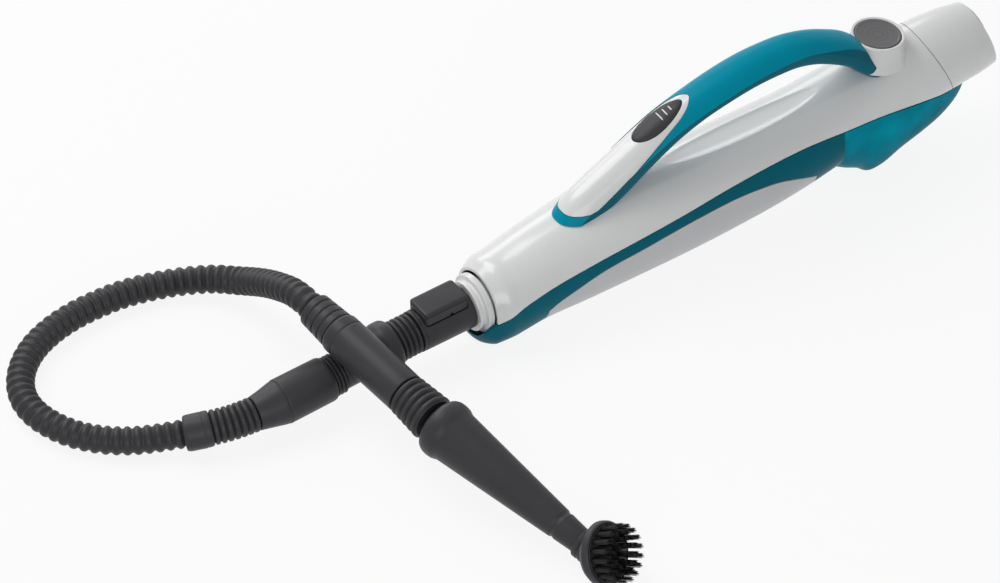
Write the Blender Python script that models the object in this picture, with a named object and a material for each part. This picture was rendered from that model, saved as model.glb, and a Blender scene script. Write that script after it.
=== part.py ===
"""Handheld steam cleaner: a slim shell body with a loop handle, a water tank under its rear,
and a hose set that plugs into the nose and ends in a cone nozzle with a round brush.

The frame's origin is the middle of the chin's flat pad, on the surface the cleaner lies on.
+X runs along the body from the nose to the rear cap, +Z is up.
"""

import math

import bmesh
import bpy
import numpy as np
from mathutils import Matrix, Vector

# Fits and walls
GAP = 0.0003
WALL = 0.0025
CUT_OVERRUN = 0.004
WELD = 0.0002

# Body
BODY_LENGTH = 0.433
NOSE_OVERHANG = 0.018
BODY_RADIUS = 0.038
NOSE_AXIS_HEIGHT = 0.0314
AXIS_RISE = 0.0384
SEAM_LEAN = 0.40
EDGE_HEIGHT = 0.0667
CHIN_RADIUS = 0.0338
SCOOP_DEPTH = 0.0035
SCOOP_LENGTH = 0.132
SCOOP_WIDTH = 0.020

# Where the body's shells end, as shares of the body's length
TRIM_START_SHARE = 0.0023
SHELL_START_SHARE = 0.0237
WINDOW_START_SHARE = 0.113
WINDOW_END_SHARE = 0.637
TANK_START_SHARE = 0.6905
SEAM_SHARE = 0.902
TANK_END_SHARE = 0.934
SCOOP_MIDDLE_SHARE = 0.536

# Body sections: share of the length, of the axis rise, of the radius and of the seam's lean
BODY_SHARES = [
    (0.000, 0.000, 0.560, 0.00),
    (0.023, 0.000, 0.666, 0.00),
    (0.042, 0.000, 0.797, 0.00),
    (0.065, 0.008, 0.832, 0.00),
    (0.127, 0.122, 0.888, 0.00),
    (0.187, 0.198, 0.948, 0.00),
    (0.240, 0.262, 0.990, 0.00),
    (0.480, 0.354, 0.990, 0.00),
    (0.575, 0.409, 0.953, 0.00),
    (0.651, 0.495, 0.905, 0.00),
    (0.700, 0.590, 0.876, 0.00),
    (0.735, 0.665, 0.853, 0.10),
    (0.806, 0.823, 0.816, 0.45),
    (0.860, 0.920, 0.785, 0.85),
    (0.902, 0.972, 0.758, 1.00),
    (0.975, 1.000, 0.700, 0.68),
    (1.000, 1.000, 0.655, 0.53),
]

# Upper edge of the trim and the tank: share of the body's length, share of EDGE_HEIGHT
UPPER_EDGE_SHARES = [
    (0.000, 0.290),
    (0.023, 0.405),
    (0.042, 0.495),
    (0.065, 0.570),
    (0.092, 0.630),
    (0.206, 0.795),
    (0.404, 0.930),
    (0.524, 0.984),
    (0.603, 1.000),
    (0.679, 0.990),
    (0.799, 0.945),
    (0.860, 0.862),
    (0.921, 0.735),
    (0.954, 0.668),
    (1.000, 0.575),
]

# Lower edge of the side strips, where the lower housing starts
LOWER_EDGE_SHARES = [
    (0.100, 0.330),
    (0.113, 0.390),
    (0.129, 0.465),
    (0.148, 0.525),
    (0.203, 0.660),
    (0.300, 0.765),
    (0.400, 0.825),
    (0.517, 0.825),
    (0.560, 0.785),
    (0.596, 0.705),
    (0.637, 0.585),
    (0.700, 0.480),
]

# Underside of the tank: share of the body's length, share of EDGE_HEIGHT
TANK_FLOOR_SHARES = [
    (0.690, 0.285),
    (0.720, 0.150),
    (0.750, 0.035),
    (0.765, -0.050),
    (0.785, -0.050),
    (0.820, 0.120),
    (0.857, 0.215),
    (0.896, 0.310),
    (0.925, 0.430),
    (0.953, 0.630),
]

# Nose ring and the plug that fits it
NOSE_SLOPE = math.radians(2.0)
NOSE_RING_LENGTH = 0.030
NOSE_LIP_RADIUS = 0.0190
NOSE_LIP_LENGTH = 0.0050
NOSE_SHOULDER_RADIUS = 0.0220
NOSE_SHOULDER_LENGTH = 0.0050
NOSE_SLEEVE_RADIUS = 0.0165
PLUG_RADIUS = 0.0117
PLUG_LENGTH = 0.020
LATCH_GROOVE_DEPTH = 0.0022
LATCH_GROOVE_WIDTH = 0.0060
STEAM_PIPE_RADIUS = 0.0034
STEAM_PIPE_BORE = 0.0022

# Round release button, its collar and the pole latch
BUTTON_SHARE = 0.806
BUTTON_TILT = math.radians(8.5)
BUTTON_RADIUS = 0.0168
BUTTON_HEIGHT = 0.1115
BUTTON_THICKNESS = 0.0050
BUTTON_CROWN = 0.0008
BUTTON_TRAVEL = 0.0025
COLLAR_WALL = 0.0025
COLLAR_FLARE = 0.0020
COLLAR_FLOOR_DEPTH = 0.0115
COLLAR_HEIGHT = 0.0200
BUTTON_STEM_RADIUS = 0.0035
BUTTON_STEM_LENGTH = 0.0205
LEVER_ARM = 0.0195
LEVER_HOOK_ARM = 0.0250
LEVER_WIDTH = 0.0070
LEVER_THICKNESS = 0.0024
LEVER_PIN_RADIUS = 0.0015
LEVER_EAR_WIDTH = 0.0030
LEVER_EAR_LENGTH = 0.0080
HOOK_BITE = 0.0022
SOCKET_RADIUS = 0.0160
SOCKET_WALL = 0.0020
SOCKET_DEPTH = 0.0400

# Handle
HANDLE_HEIGHT = 0.1355
HANDLE_HALF_WIDTH = 0.0140
HANDLE_HALF_HEIGHT = 0.0100
COVER_WALL = 0.0024
TOE_BAND = 0.0058
STEAM_BUTTON_SHARE = 0.381
STEAM_BUTTON_LENGTH = 0.0440
STEAM_BUTTON_WIDTH = 0.0180
STEAM_BUTTON_DEPTH = 0.0052
STEAM_BUTTON_RISE = 0.0010
STEAM_BUTTON_TRAVEL = 0.0012
STEAM_SWITCH_SIZE = (0.0200, 0.0064, 0.0070)
SWITCH_POCKET_LENGTH = 0.0300
SWITCH_POCKET_WIDTH = 0.0120

# Handle centreline: share of the body's length, of HANDLE_HEIGHT, then of the half width and half height
HANDLE_SHARES = [
    (0.165, 0.360, 1.00, 1.10),
    (0.190, 0.465, 1.06, 1.25),
    (0.215, 0.546, 1.10, 1.40),
    (0.252, 0.620, 1.11, 1.42),
    (0.282, 0.676, 1.11, 1.35),
    (0.330, 0.770, 1.08, 1.20),
    (0.381, 0.860, 1.04, 1.10),
    (0.440, 0.930, 1.00, 1.00),
    (0.491, 0.972, 1.00, 1.00),
    (0.546, 1.000, 1.00, 1.00),
    (0.590, 1.003, 1.00, 1.00),
    (0.628, 0.993, 1.00, 1.00),
    (0.669, 0.955, 1.02, 1.00),
    (0.708, 0.893, 1.10, 1.00),
    (0.745, 0.812, 1.26, 0.98),
    (0.762, 0.753, 1.38, 0.95),
    (0.785, 0.675, 1.50, 0.90),
    (0.806, 0.590, 1.56, 0.85),
    (0.822, 0.500, 1.60, 0.80),
]

# Edge of the white cover on the handle's section: share of the body's length, share of a right angle
COVER_EDGE_SHARES = [
    (0.165, 0.06),
    (0.282, 0.08),
    (0.340, 0.16),
    (0.381, 0.30),
    (0.410, 0.50),
    (0.428, 0.74),
    (0.439, 0.97),
]

# Water tank
TANK_WALL = 0.0022
TANK_JOINT = 0.0008
TANK_FOOT_SHARES = (0.7645, 0.7855)
TANK_FULLNESS = 2.4
FILLER_SHARE = 0.752
FILLER_RADIUS = 0.0085
FILLER_WALL = 0.0025
FILLER_RISE = 0.0012
FILLER_CAP_PLUG = 0.0050
FILLER_CAP_FLANGE = 0.0016
FILLER_BAR_HEIGHT = 0.0030
FILLER_BAR_WIDTH = 0.0030
VALVE_SHARE = 0.826
VALVE_RADIUS = 0.0042
VALVE_SEAT_RADIUS = 0.0070
VALVE_HEIGHT = 0.0085
VALVE_BORE = 0.0018
BAY_PLATE = 0.0018
BAY_HOLE_CLEARANCE = 0.0026
COUPLING_WALL = 0.0022
COUPLING_TOP = 0.0030

# Inner pieces
BOILER_SHARE = 0.295
BOILER_LENGTH = 0.088
BOILER_REAR = 0.044
BOILER_RADIUS = 0.0230
BOILER_AXIS_DROP = 0.0010
BOILER_FIN = 0.0020
BOILER_FIN_COUNT = 3
PUMP_SHARE = 0.540
PUMP_LENGTH = 0.062
PUMP_RADIUS = 0.0150
PUMP_NECK_RADIUS = 0.0095
PUMP_NECK_LENGTH = 0.0120
PUMP_SPOUT_RADIUS = 0.0028
PUMP_SPOUT_LENGTH = 0.0080
MOUNT_RADIUS = 0.0165
MOUNT_WIDTH = 0.0070
CRADLE_WALL = 0.0024
THERMOSTAT_RADIUS = 0.0065
THERMOSTAT_HEIGHT = 0.0060
FUSE_RADIUS = 0.0022
FUSE_LENGTH = 0.0150
BOARD_SIZE = (0.062, 0.036, 0.0016)
BOARD_SHARE = 0.548
BOARD_POST_RADIUS = 0.0022
TUBE_RADIUS = 0.0030
TUBE_BORE = 0.0016
GLAND_RADIUS = 0.0072
GLAND_BORE = 0.0038
GLAND_FLANGE_RADIUS = 0.0092
GLAND_FLANGE = 0.0020
GLAND_LENGTH = 0.0090

# Hose set: the line of rigid pieces from the nose to the hose
LINE_LENGTH = 0.2245
CONNECTOR_LENGTH = 0.0440
CONNECTOR_RADIUS = 0.0155
LINE_BORE = 0.0045
LATCH_BLOCK_LENGTH = 0.0360
LATCH_BLOCK_WIDTH = 0.0220
LATCH_BLOCK_TOP = 0.0215
LATCH_BLOCK_SEAT = 0.0088
LATCH_BLOCK_SETBACK = 0.0040
LATCH_TRAVEL = 0.0020
LATCH_TONGUE_WIDTH = 0.0060
LATCH_TONGUE_THICKNESS = 0.0020
LATCH_TONGUE_LENGTH = 0.0175
RIB_DEPTH = 0.0016

# Places along the line: share of LINE_LENGTH, share of the nose's axis height, sideways share of LINE_LENGTH
LINE_SHARES = [
    (0.000, 0.994, 0.000),
    (0.100, 0.973, 0.000),
    (0.196, 0.951, 0.000),
    (0.350, 0.870, 0.000),
    (0.512, 0.771, 0.000),
    (0.620, 0.720, 0.000),
    (0.708, 0.690, 0.000),
    (0.790, 0.660, 0.004),
    (0.868, 0.612, 0.018),
    (0.930, 0.560, 0.040),
    (0.973, 0.510, 0.058),
    (1.000, 0.470, 0.074),
]

# Handpiece and nozzle, which lie over the line
HANDPIECE_LENGTH = 0.1330
HANDPIECE_TURN = math.radians(6.2)
HANDPIECE_DROP = math.radians(5.5)
HANDPIECE_RADIUS = 0.0155
FERRULE_RADIUS = 0.0130
FERRULE_LENGTH = 0.0260
HANDPIECE_BELLOWS = 0.0330
NOZZLE_LENGTH = 0.1400
NOZZLE_TURN = math.radians(12.8)
NOZZLE_DROP = math.radians(10.2)
NOZZLE_COLLAR_RADIUS = 0.0220
NOZZLE_TIP_RADIUS = 0.0095
NOZZLE_SPIGOT_RADIUS = 0.0075
NOZZLE_SPIGOT_LENGTH = 0.0160
NOZZLE_BORE = 0.0040

# Round brush
BRUSH_RADIUS = 0.0230
BRUSH_AXIS = (0.372, -0.818, 0.4385)
BRUSH_BELL_DEPTH = 0.0150
BRUSH_RIM_DEPTH = 0.0055
BRUSH_SOCKET_RADIUS = 0.0115
BRISTLE_PAD_RADIUS = 0.0205
BRISTLE_PAD_THICKNESS = 0.0020
BRISTLE_LENGTH = 0.0150
BRISTLE_RADIUS = 0.00065
BRISTLE_SPLAY = 0.06
BRISTLE_RING_COUNTS = (6, 14, 24, 34, 43, 53, 62, 64)
BRISTLE_SIDES = 3

# Ribbed hose, with the places it passes in real sizes
HOSE_RADIUS = 0.01025
HOSE_BORE = 0.0068
HOSE_RIB_COUNT = 62
HOSE_ROUTE = [
    (-0.2424, 0.0166, 0.0148),
    (-0.2593, 0.0262, 0.0118),
    (-0.2780, 0.0372, 0.0104),
    (-0.2935, 0.0500, 0.0103),
    (-0.3045, 0.0640, 0.0103),
    (-0.3115, 0.0790, 0.0103),
    (-0.3150, 0.0950, 0.0103),
    (-0.3140, 0.1110, 0.0103),
    (-0.3075, 0.1265, 0.0103),
    (-0.2965, 0.1400, 0.0103),
    (-0.2810, 0.1515, 0.0103),
    (-0.2620, 0.1595, 0.0103),
    (-0.2410, 0.1640, 0.0103),
    (-0.2190, 0.1650, 0.0103),
    (-0.1970, 0.1635, 0.0103),
    (-0.1760, 0.1585, 0.0103),
    (-0.1560, 0.1505, 0.0110),
    (-0.1390, 0.1380, 0.0140),
    (-0.1280, 0.1200, 0.0205),
    (-0.1240, 0.0960, 0.0350),
    (-0.1244, 0.0735, 0.0485),
    (-0.1246, 0.0565, 0.0565),
    (-0.1236, 0.0333, 0.0584),
]

ROUND_SIDES = 20
SMALL_SIDES = 12

WHITE = (0.86, 0.86, 0.86)
PALE_GREY = (0.62, 0.62, 0.62)
TEAL = (0.0, 0.20, 0.27)
TANK_TEAL = (0.0, 0.16, 0.23)
DARK = (0.055, 0.053, 0.058)
BLACK = (0.01, 0.01, 0.01)
STEEL = (0.60, 0.61, 0.62)
CAST = (0.55, 0.56, 0.57)
BRASS = (0.72, 0.53, 0.22)
SILICONE = (0.80, 0.80, 0.76)
BOARD_GREEN = (0.03, 0.18, 0.07)


def smooth(place, stations, values):
    """Value at a place on the smooth curve through the stations."""
    slopes = np.gradient(values, stations)
    index = int(np.clip(np.searchsorted(stations, place) - 1, 0, len(stations) - 2))
    step = stations[index + 1] - stations[index]
    part = (place - stations[index]) / step
    start = (1 + 2 * part) * (1 - part) ** 2 * values[index]
    end = part ** 2 * (3 - 2 * part) * values[index + 1]
    start_slope = part * (1 - part) ** 2 * step * slopes[index]
    end_slope = part ** 2 * (part - 1) * step * slopes[index + 1]
    return float(start + end + start_slope + end_slope)


def read_shares(table, share, column):
    """Value of a column of a table of shares, read smoothly along its first column."""
    stations = np.array([row[0] for row in table])
    values = np.array([row[column] for row in table])
    return smooth(share, stations, values)


def body_x(share):
    return share * BODY_LENGTH - NOSE_OVERHANG


def body_share(x):
    return (x + NOSE_OVERHANG) / BODY_LENGTH


def axis_height(share):
    return NOSE_AXIS_HEIGHT + AXIS_RISE * read_shares(BODY_SHARES, share, 1)


def body_radius(share):
    return BODY_RADIUS * read_shares(BODY_SHARES, share, 2)


def section_lean(share):
    return SEAM_LEAN * read_shares(BODY_SHARES, share, 3)


def edge_height(share, table):
    return EDGE_HEIGHT * read_shares(table, share, 1)


def body_point(share, angle, radius):
    """Point of the body's section at a share of its length, at an angle above the +Y side."""
    rise = radius * math.sin(angle)
    x = body_x(share) - section_lean(share) * rise
    return Vector((x, radius * math.cos(angle), axis_height(share) + rise))


def edge_angle(share, table):
    """Angle on the body's section where an edge line of the table crosses it."""
    radius = body_radius(share)
    angle = 0.0
    for _ in range(6):
        x = body_point(share, angle, radius).x
        height = edge_height(body_share(x), table) - axis_height(share)
        angle = math.asin(max(-0.98, min(0.98, height / radius)))
    return angle


def material(name, color, roughness, metallic, alpha=1.0):
    made = bpy.data.materials.new(name)
    made.use_nodes = True
    shader = made.node_tree.nodes["Principled BSDF"]
    shader.inputs["Base Color"].default_value = (*color, 1.0)
    shader.inputs["Roughness"].default_value = roughness
    shader.inputs["Metallic"].default_value = metallic
    shader.inputs["Alpha"].default_value = alpha
    return made


def add_object(name, mesh, color, roughness=0.35, metallic=0.0, alpha=1.0):
    """Put a mesh in the scene as a named piece with its own material."""
    made = bpy.data.objects.new(name, mesh)
    bpy.context.collection.objects.link(made)
    mesh.materials.append(material(name, color, roughness, metallic, alpha))
    return made


def finish_mesh(name, work):
    """Weld, turn the faces outwards, shade smooth and hand back a mesh."""
    bmesh.ops.remove_doubles(work, verts=work.verts, dist=WELD / 10)
    bmesh.ops.recalc_face_normals(work, faces=work.faces)
    mesh = bpy.data.meshes.new(name)
    work.to_mesh(mesh)
    work.free()
    mesh.shade_smooth()
    mesh.set_sharp_from_angle(angle=math.radians(35))
    return mesh


def loft(name, rings, closed=False):
    """Mesh through rings of points: end faces at both ends, or the last ring joined to the first."""
    work = bmesh.new()
    made = [[work.verts.new(point) for point in ring] for ring in rings]
    count = len(rings[0])
    pairs = list(zip(made[:-1], made[1:]))
    if closed:
        pairs.append((made[-1], made[0]))
    for first, second in pairs:
        for index in range(count):
            other = (index + 1) % count
            work.faces.new((first[index], first[other], second[other], second[index]))
    if not closed:
        work.faces.new(made[0])
        work.faces.new(made[-1])
    return finish_mesh(name, work)


def shell(name, outer, inner, keep=None):
    """Wall between two grids of points. A cell that keep refuses is left open, with walls round it."""
    work = bmesh.new()
    rows, columns = len(outer), len(outer[0])
    sides = [[[work.verts.new(point) for point in row] for row in grid] for grid in (outer, inner)]
    kept = {
        (row, column)
        for row in range(rows - 1)
        for column in range(columns - 1)
        if keep is None or keep(row, column)
    }
    for row, column in kept:
        corners = [(row, column), (row, column + 1), (row + 1, column + 1), (row + 1, column)]
        for grid in sides:
            work.faces.new([grid[i][j] for i, j in corners])
        neighbours = [(row - 1, column), (row, column + 1), (row + 1, column), (row, column - 1)]
        for side, neighbour in enumerate(neighbours):
            if neighbour in kept:
                continue
            (a, b), (c, d) = corners[side], corners[(side + 1) % 4]
            work.faces.new((sides[0][a][b], sides[0][c][d], sides[1][c][d], sides[1][a][b]))
    loose = [vert for vert in work.verts if not vert.link_faces]
    bmesh.ops.delete(work, geom=loose, context="VERTS")
    return finish_mesh(name, work)


def frame_at(origin, axis, up=(0, 0, 1)):
    """Matrix whose local Z runs along the axis and whose local Y leans towards up."""
    along = Vector(axis).normalized()
    side = Vector(up).cross(along)
    if side.length < WELD:
        side = Vector((1, 0, 0))
    side.normalize()
    upright = along.cross(side)
    turned_axes = Matrix((side, upright, along)).transposed().to_4x4()
    return Matrix.Translation(Vector(origin)) @ turned_axes


def circle(seat, height, radius, sides):
    return [
        seat @ Vector((radius * math.cos(turn), radius * math.sin(turn), height))
        for turn in (2 * math.pi * index / sides for index in range(sides))
    ]


def turned(name, profile, seat, sides=ROUND_SIDES, bored=False):
    """Turned mesh from (height, radius) pairs. A bored one's profile closes on itself."""
    rings = [circle(seat, height, radius, sides) for height, radius in profile]
    return loft(name, rings, closed=bored)


def block(name, size, seat):
    """Box centred on its seat's origin."""
    half = [side / 2 for side in size]
    rings = []
    for height in (-half[2], half[2]):
        corners = ((-half[0], -half[1]), (half[0], -half[1]), (half[0], half[1]), (-half[0], half[1]))
        rings.append([seat @ Vector((x, y, height)) for x, y in corners])
    return loft(name, rings)


def tool(mesh):
    """Keep a mesh as a hidden cutter or joining shape."""
    made = bpy.data.objects.new(mesh.name, mesh)
    bpy.context.collection.objects.link(made)
    made.hide_render = True
    made.display_type = "WIRE"
    return made


def apply_boolean(piece, mesh, operation):
    shape = tool(mesh)
    step = piece.modifiers.new(mesh.name, "BOOLEAN")
    step.operation = operation
    step.object = shape


def cut(piece, mesh):
    apply_boolean(piece, mesh, "DIFFERENCE")


def join(piece, mesh):
    apply_boolean(piece, mesh, "UNION")


def set_origin(piece, pivot):
    """Move a piece's origin to its joint, with the piece left where it is."""
    place = Vector(pivot)
    piece.data.transform(Matrix.Translation(-place))
    piece.location = place


def attach(child, holder):
    """Parent a piece to the piece or empty that carries it, with both left where they are."""
    child.parent = holder
    child.matrix_parent_inverse = Matrix.Translation(-holder.location)


def nose_seat():
    """Seat at the nose's face, with local Z running forward out of the nose."""
    origin = (-NOSE_OVERHANG, 0, NOSE_AXIS_HEIGHT)
    return frame_at(origin, (-math.cos(NOSE_SLOPE), 0, -math.sin(NOSE_SLOPE)))


def button_seat():
    """Seat at the middle of the round button's top, with local Z out of the button."""
    origin = (body_x(BUTTON_SHARE), 0, BUTTON_HEIGHT)
    return frame_at(origin, (math.sin(BUTTON_TILT), 0, math.cos(BUTTON_TILT)), up=(0, 1, 0))


def scoop_at(share, angle):
    """Depth of the finger scoop under the handle."""
    along = (share - SCOOP_MIDDLE_SHARE) * BODY_LENGTH / (SCOOP_LENGTH / 2)
    across = (angle - math.pi / 2) * body_radius(share) / (SCOOP_WIDTH / 2)
    if abs(along) >= 1:
        return 0.0
    width = math.sqrt(1 - along ** 2)
    if abs(across) >= width:
        return 0.0
    return SCOOP_DEPTH * (width ** 2 - across ** 2)


def upper_angles(share):
    """Angles over the top of the body, from trim edge to trim edge, closer together at the scoop."""
    start = edge_angle(share, UPPER_EDGE_SHARES) + GAP / body_radius(share)
    spread_shares = (0.0, 0.2, 0.4, 0.6, 0.76, 0.84, 0.92)
    half = [start + (math.pi / 2 - start) * part for part in spread_shares]
    return half + [math.pi / 2] + [math.pi - angle for angle in reversed(half)]


def upper_shares():
    """Stations along the body, shared by its shells so that their edges run side by side."""
    shares = list(np.linspace(SHELL_START_SHARE, WINDOW_START_SHARE, 6))
    shares += list(np.linspace(WINDOW_START_SHARE, WINDOW_END_SHARE, 13))[1:]
    shares += list(np.linspace(WINDOW_END_SHARE, TANK_START_SHARE, 3))[1:]
    return shares + list(np.linspace(TANK_START_SHARE, SEAM_SHARE, 6))[1:]


def body_envelope(name, grow):
    """Solid that fills the body's outline, grown by a clearance, to fit other pieces against it."""
    rings = []
    for share in upper_shares():
        radius = body_radius(share) + grow
        ring = [body_point(share, angle, radius) for angle in upper_angles(share)]
        rings.append(ring + [body_point(share, -math.pi / 2, radius * 0.5)])
    return loft(name, rings)


def upper_housing():
    outer, inner = [], []
    for share in upper_shares():
        radius = body_radius(share)
        angles = upper_angles(share)
        depths = [scoop_at(share, angle) for angle in angles]
        outer.append([body_point(share, angle, radius - dip) for angle, dip in zip(angles, depths)])
        inner.append([body_point(share, angle, radius - WALL - dip) for angle, dip in zip(angles, depths)])
    piece = add_object("upper_housing", shell("upper_housing", outer, inner), WHITE, 0.25)
    seat = button_seat()
    join(piece, turned("collar", collar_profile(0), seat))
    bore = BUTTON_RADIUS + GAP
    lever = lever_pivot()
    below = 2 * LEVER_PIN_RADIUS
    ear_height = axis_height(BUTTON_SHARE) + body_radius(BUTTON_SHARE) - lever.z + below
    for side in (-1, 1):
        across = side * (LEVER_WIDTH / 2 + GAP + LEVER_EAR_WIDTH / 2)
        middle = lever + Vector((0, across, ear_height / 2 - below))
        size = (LEVER_EAR_LENGTH, LEVER_EAR_WIDTH, ear_height)
        join(piece, block("lever_ear", size, Matrix.Translation(middle)))
    well = [(-COLLAR_FLOOR_DEPTH, bore), (CUT_OVERRUN, bore)]
    cut(piece, turned("button_well", well, seat))
    guide = BUTTON_STEM_RADIUS + GAP
    stem_hole = [(-BUTTON_STEM_LENGTH - CUT_OVERRUN, guide), (CUT_OVERRUN, guide)]
    cut(piece, turned("stem_hole", stem_hole, seat, SMALL_SIDES))
    slot = (2 * LEVER_ARM + LEVER_EAR_LENGTH, LEVER_WIDTH + 4 * GAP, 3 * LEVER_THICKNESS)
    cut(piece, block("lever_slot", slot, Matrix.Translation(lever - Vector((LEVER_THICKNESS, 0, 0)))))
    hole = LEVER_PIN_RADIUS + GAP
    reach = LEVER_WIDTH / 2 + LEVER_EAR_WIDTH + CUT_OVERRUN
    cut(piece, turned("pin_hole", [(-reach, hole), (reach, hole)], frame_at(lever, (0, 1, 0)), SMALL_SIDES))
    for post in board_posts():
        join(piece, post)
    return piece


def chin_swell(share, angle):
    """How far the trim stands out under the nose, where its pad touches the ground."""
    bottom = min(1.0, max(0.0, (-angle - 0.15) / 0.9))
    start = body_share(-0.45 * NOSE_OVERHANG)
    fade = min(1.0, max(0.0, (WINDOW_START_SHARE - share) / (WINDOW_START_SHARE * 0.45)))
    rise = min(1.0, max(0.0, (share - TRIM_START_SHARE) / (start + TRIM_START_SHARE)))
    ease = bottom * bottom * (3 - 2 * bottom)
    chin = CHIN_RADIUS * (0.70 + 0.30 * math.sqrt(rise))
    return ease * fade * max(0.0, chin - body_radius(share))


def trim_point(share, angle, depth):
    below = angle if angle >= -math.pi / 2 else -math.pi - angle
    radius = body_radius(share) + chin_swell(share, below)
    if share < SHELL_START_SHARE:
        radius = max(radius, NOSE_SHOULDER_RADIUS + GAP * 3)
    floor = NOSE_SHOULDER_RADIUS + GAP
    point = body_point(share, angle, max(floor, radius - depth) if depth else radius)
    point.z = max(point.z, depth)
    return point


def trim_angles(share):
    """Angles under the body, from the +Y strip's upper edge round to the -Y strip's upper edge."""
    top = edge_angle(share, UPPER_EDGE_SHARES)
    low = edge_angle(share, LOWER_EDGE_SHARES)
    low = min(low, top - 0.12)
    half = [top, (top + low) / 2, low]
    half += [low + (-math.pi / 2 - low) * part for part in (0.3, 0.6, 0.85)]
    return half + [-math.pi / 2] + [-math.pi - angle for angle in reversed(half)]


def side_trim():
    nose = (TRIM_START_SHARE + SHELL_START_SHARE) / 2
    shares = [TRIM_START_SHARE, nose] + [share for share in upper_shares() if share <= TANK_START_SHARE]
    rows = [trim_angles(share) for share in shares]
    outer = [[trim_point(share, angle, 0) for angle in row] for share, row in zip(shares, rows)]
    inner = [[trim_point(share, angle, WALL) for angle in row] for share, row in zip(shares, rows)]
    strip = 2
    last = len(rows[0]) - 1 - strip

    def keep(row, column):
        middle = (shares[row] + shares[row + 1]) / 2
        window = WINDOW_START_SHARE < middle < WINDOW_END_SHARE
        return not window or column < strip or column >= last

    return add_object("side_trim", shell("side_trim", outer, inner, keep), TEAL, 0.35)


def lower_angles(share, inset):
    low = min(edge_angle(share, LOWER_EDGE_SHARES), edge_angle(share, UPPER_EDGE_SHARES) - 0.12)
    low -= inset / body_radius(share)
    half = [low + (-math.pi / 2 - low) * part for part in (0, 0.3, 0.6, 0.85)]
    return half + [-math.pi / 2] + [-math.pi - angle for angle in reversed(half)]


def lower_housing():
    inset = GAP / BODY_LENGTH
    shares = [share for share in upper_shares() if WINDOW_START_SHARE <= share <= WINDOW_END_SHARE]
    shares[0] += inset
    shares[-1] -= inset
    rows = [lower_angles(share, 2 * GAP) for share in shares]
    outer, inner = [], []
    for share, row in zip(shares, rows):
        radius = body_radius(share)
        outer.append([body_point(share, angle, radius) for angle in row])
        inner.append([body_point(share, angle, radius - WALL) for angle in row])
    piece = add_object("lower_housing", shell("lower_housing", outer, inner), PALE_GREY, 0.35)
    for share, radius in cradle_places():
        join(piece, cradle(share, radius))
    return piece


def cradle_places():
    """Where the ribs that carry the boiler and the pump stand, and the radius of what lies in them."""
    boiler = BOILER_LENGTH / BODY_LENGTH * 0.36
    middle = BOILER_SHARE + (BOILER_REAR - BOILER_LENGTH / 2) / BODY_LENGTH
    pump = (PUMP_LENGTH - MOUNT_WIDTH) / BODY_LENGTH / 2
    return [
        (middle - boiler, BOILER_RADIUS),
        (middle + boiler, BOILER_RADIUS),
        (PUMP_SHARE - pump, MOUNT_RADIUS),
        (PUMP_SHARE + pump, MOUNT_RADIUS),
    ]


def inner_axis(share):
    """Point on the line that the boiler and the pump lie on."""
    return Vector((body_x(share), 0, axis_height(share) - BOILER_AXIS_DROP))


def cradle(share, radius):
    """Upright rib across the lower housing, with a round saddle for the piece of this radius."""
    middle = inner_axis(share)
    saddle = radius + 3 * GAP
    reach = body_radius(share) - WALL / 2
    rings = []
    for side in (-CRADLE_WALL / 2, CRADLE_WALL / 2):
        x = middle.x + side
        below = [math.pi * (1.18 + 0.64 * part) for part in np.linspace(0, 1, 7)]
        base = axis_height(share)
        arc = [Vector((x, reach * math.cos(turn), base + reach * math.sin(turn))) for turn in below]
        seat = [Vector((x, saddle * math.cos(turn), middle.z + saddle * math.sin(turn)))
                for turn in reversed(below)]
        rings.append(arc + seat)
    return loft("cradle", rings)


def nose_ring():
    """Stepped ring at the nose, with the bore that takes the hose plug."""
    bore = PLUG_RADIUS + GAP
    depth = PLUG_LENGTH + GAP
    groove = bore + LATCH_GROOVE_DEPTH
    groove_start = -depth + LATCH_GROOVE_WIDTH * 1.2
    shoulder = -NOSE_LIP_LENGTH
    sleeve = shoulder - NOSE_SHOULDER_LENGTH
    pipe = STEAM_PIPE_RADIUS + GAP
    profile = [
        (0, bore), (0, NOSE_LIP_RADIUS), (shoulder, NOSE_LIP_RADIUS), (shoulder, NOSE_SHOULDER_RADIUS),
        (sleeve, NOSE_SHOULDER_RADIUS), (sleeve, NOSE_SLEEVE_RADIUS),
        (-NOSE_RING_LENGTH, NOSE_SLEEVE_RADIUS), (-NOSE_RING_LENGTH, pipe),
        (-depth, pipe), (-depth, bore), (groove_start - LATCH_GROOVE_WIDTH, bore),
        (groove_start - LATCH_GROOVE_WIDTH, groove), (groove_start, groove), (groove_start, bore),
    ]
    mesh = turned("nose_ring", profile, nose_seat(), bored=True)
    return add_object("nose_ring", mesh, WHITE, 0.25)


def tube_mesh(name, outer, inner):
    """Open-ended tube between two lists of rings."""
    return loft(name, outer + inner[::-1], closed=True)


def body_ring(share, radius):
    turns = np.linspace(0, 2 * math.pi, ROUND_SIDES + 1)[:-1]
    return [body_point(share, turn, radius) for turn in turns]


def socket_seat():
    """Seat at the middle of the rear opening, with local Z out of the rear."""
    end = Vector((body_x(1.0), 0, axis_height(1.0)))
    start = Vector((body_x(SEAM_SHARE), 0, axis_height(SEAM_SHARE)))
    return frame_at(end, end - start)


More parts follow.
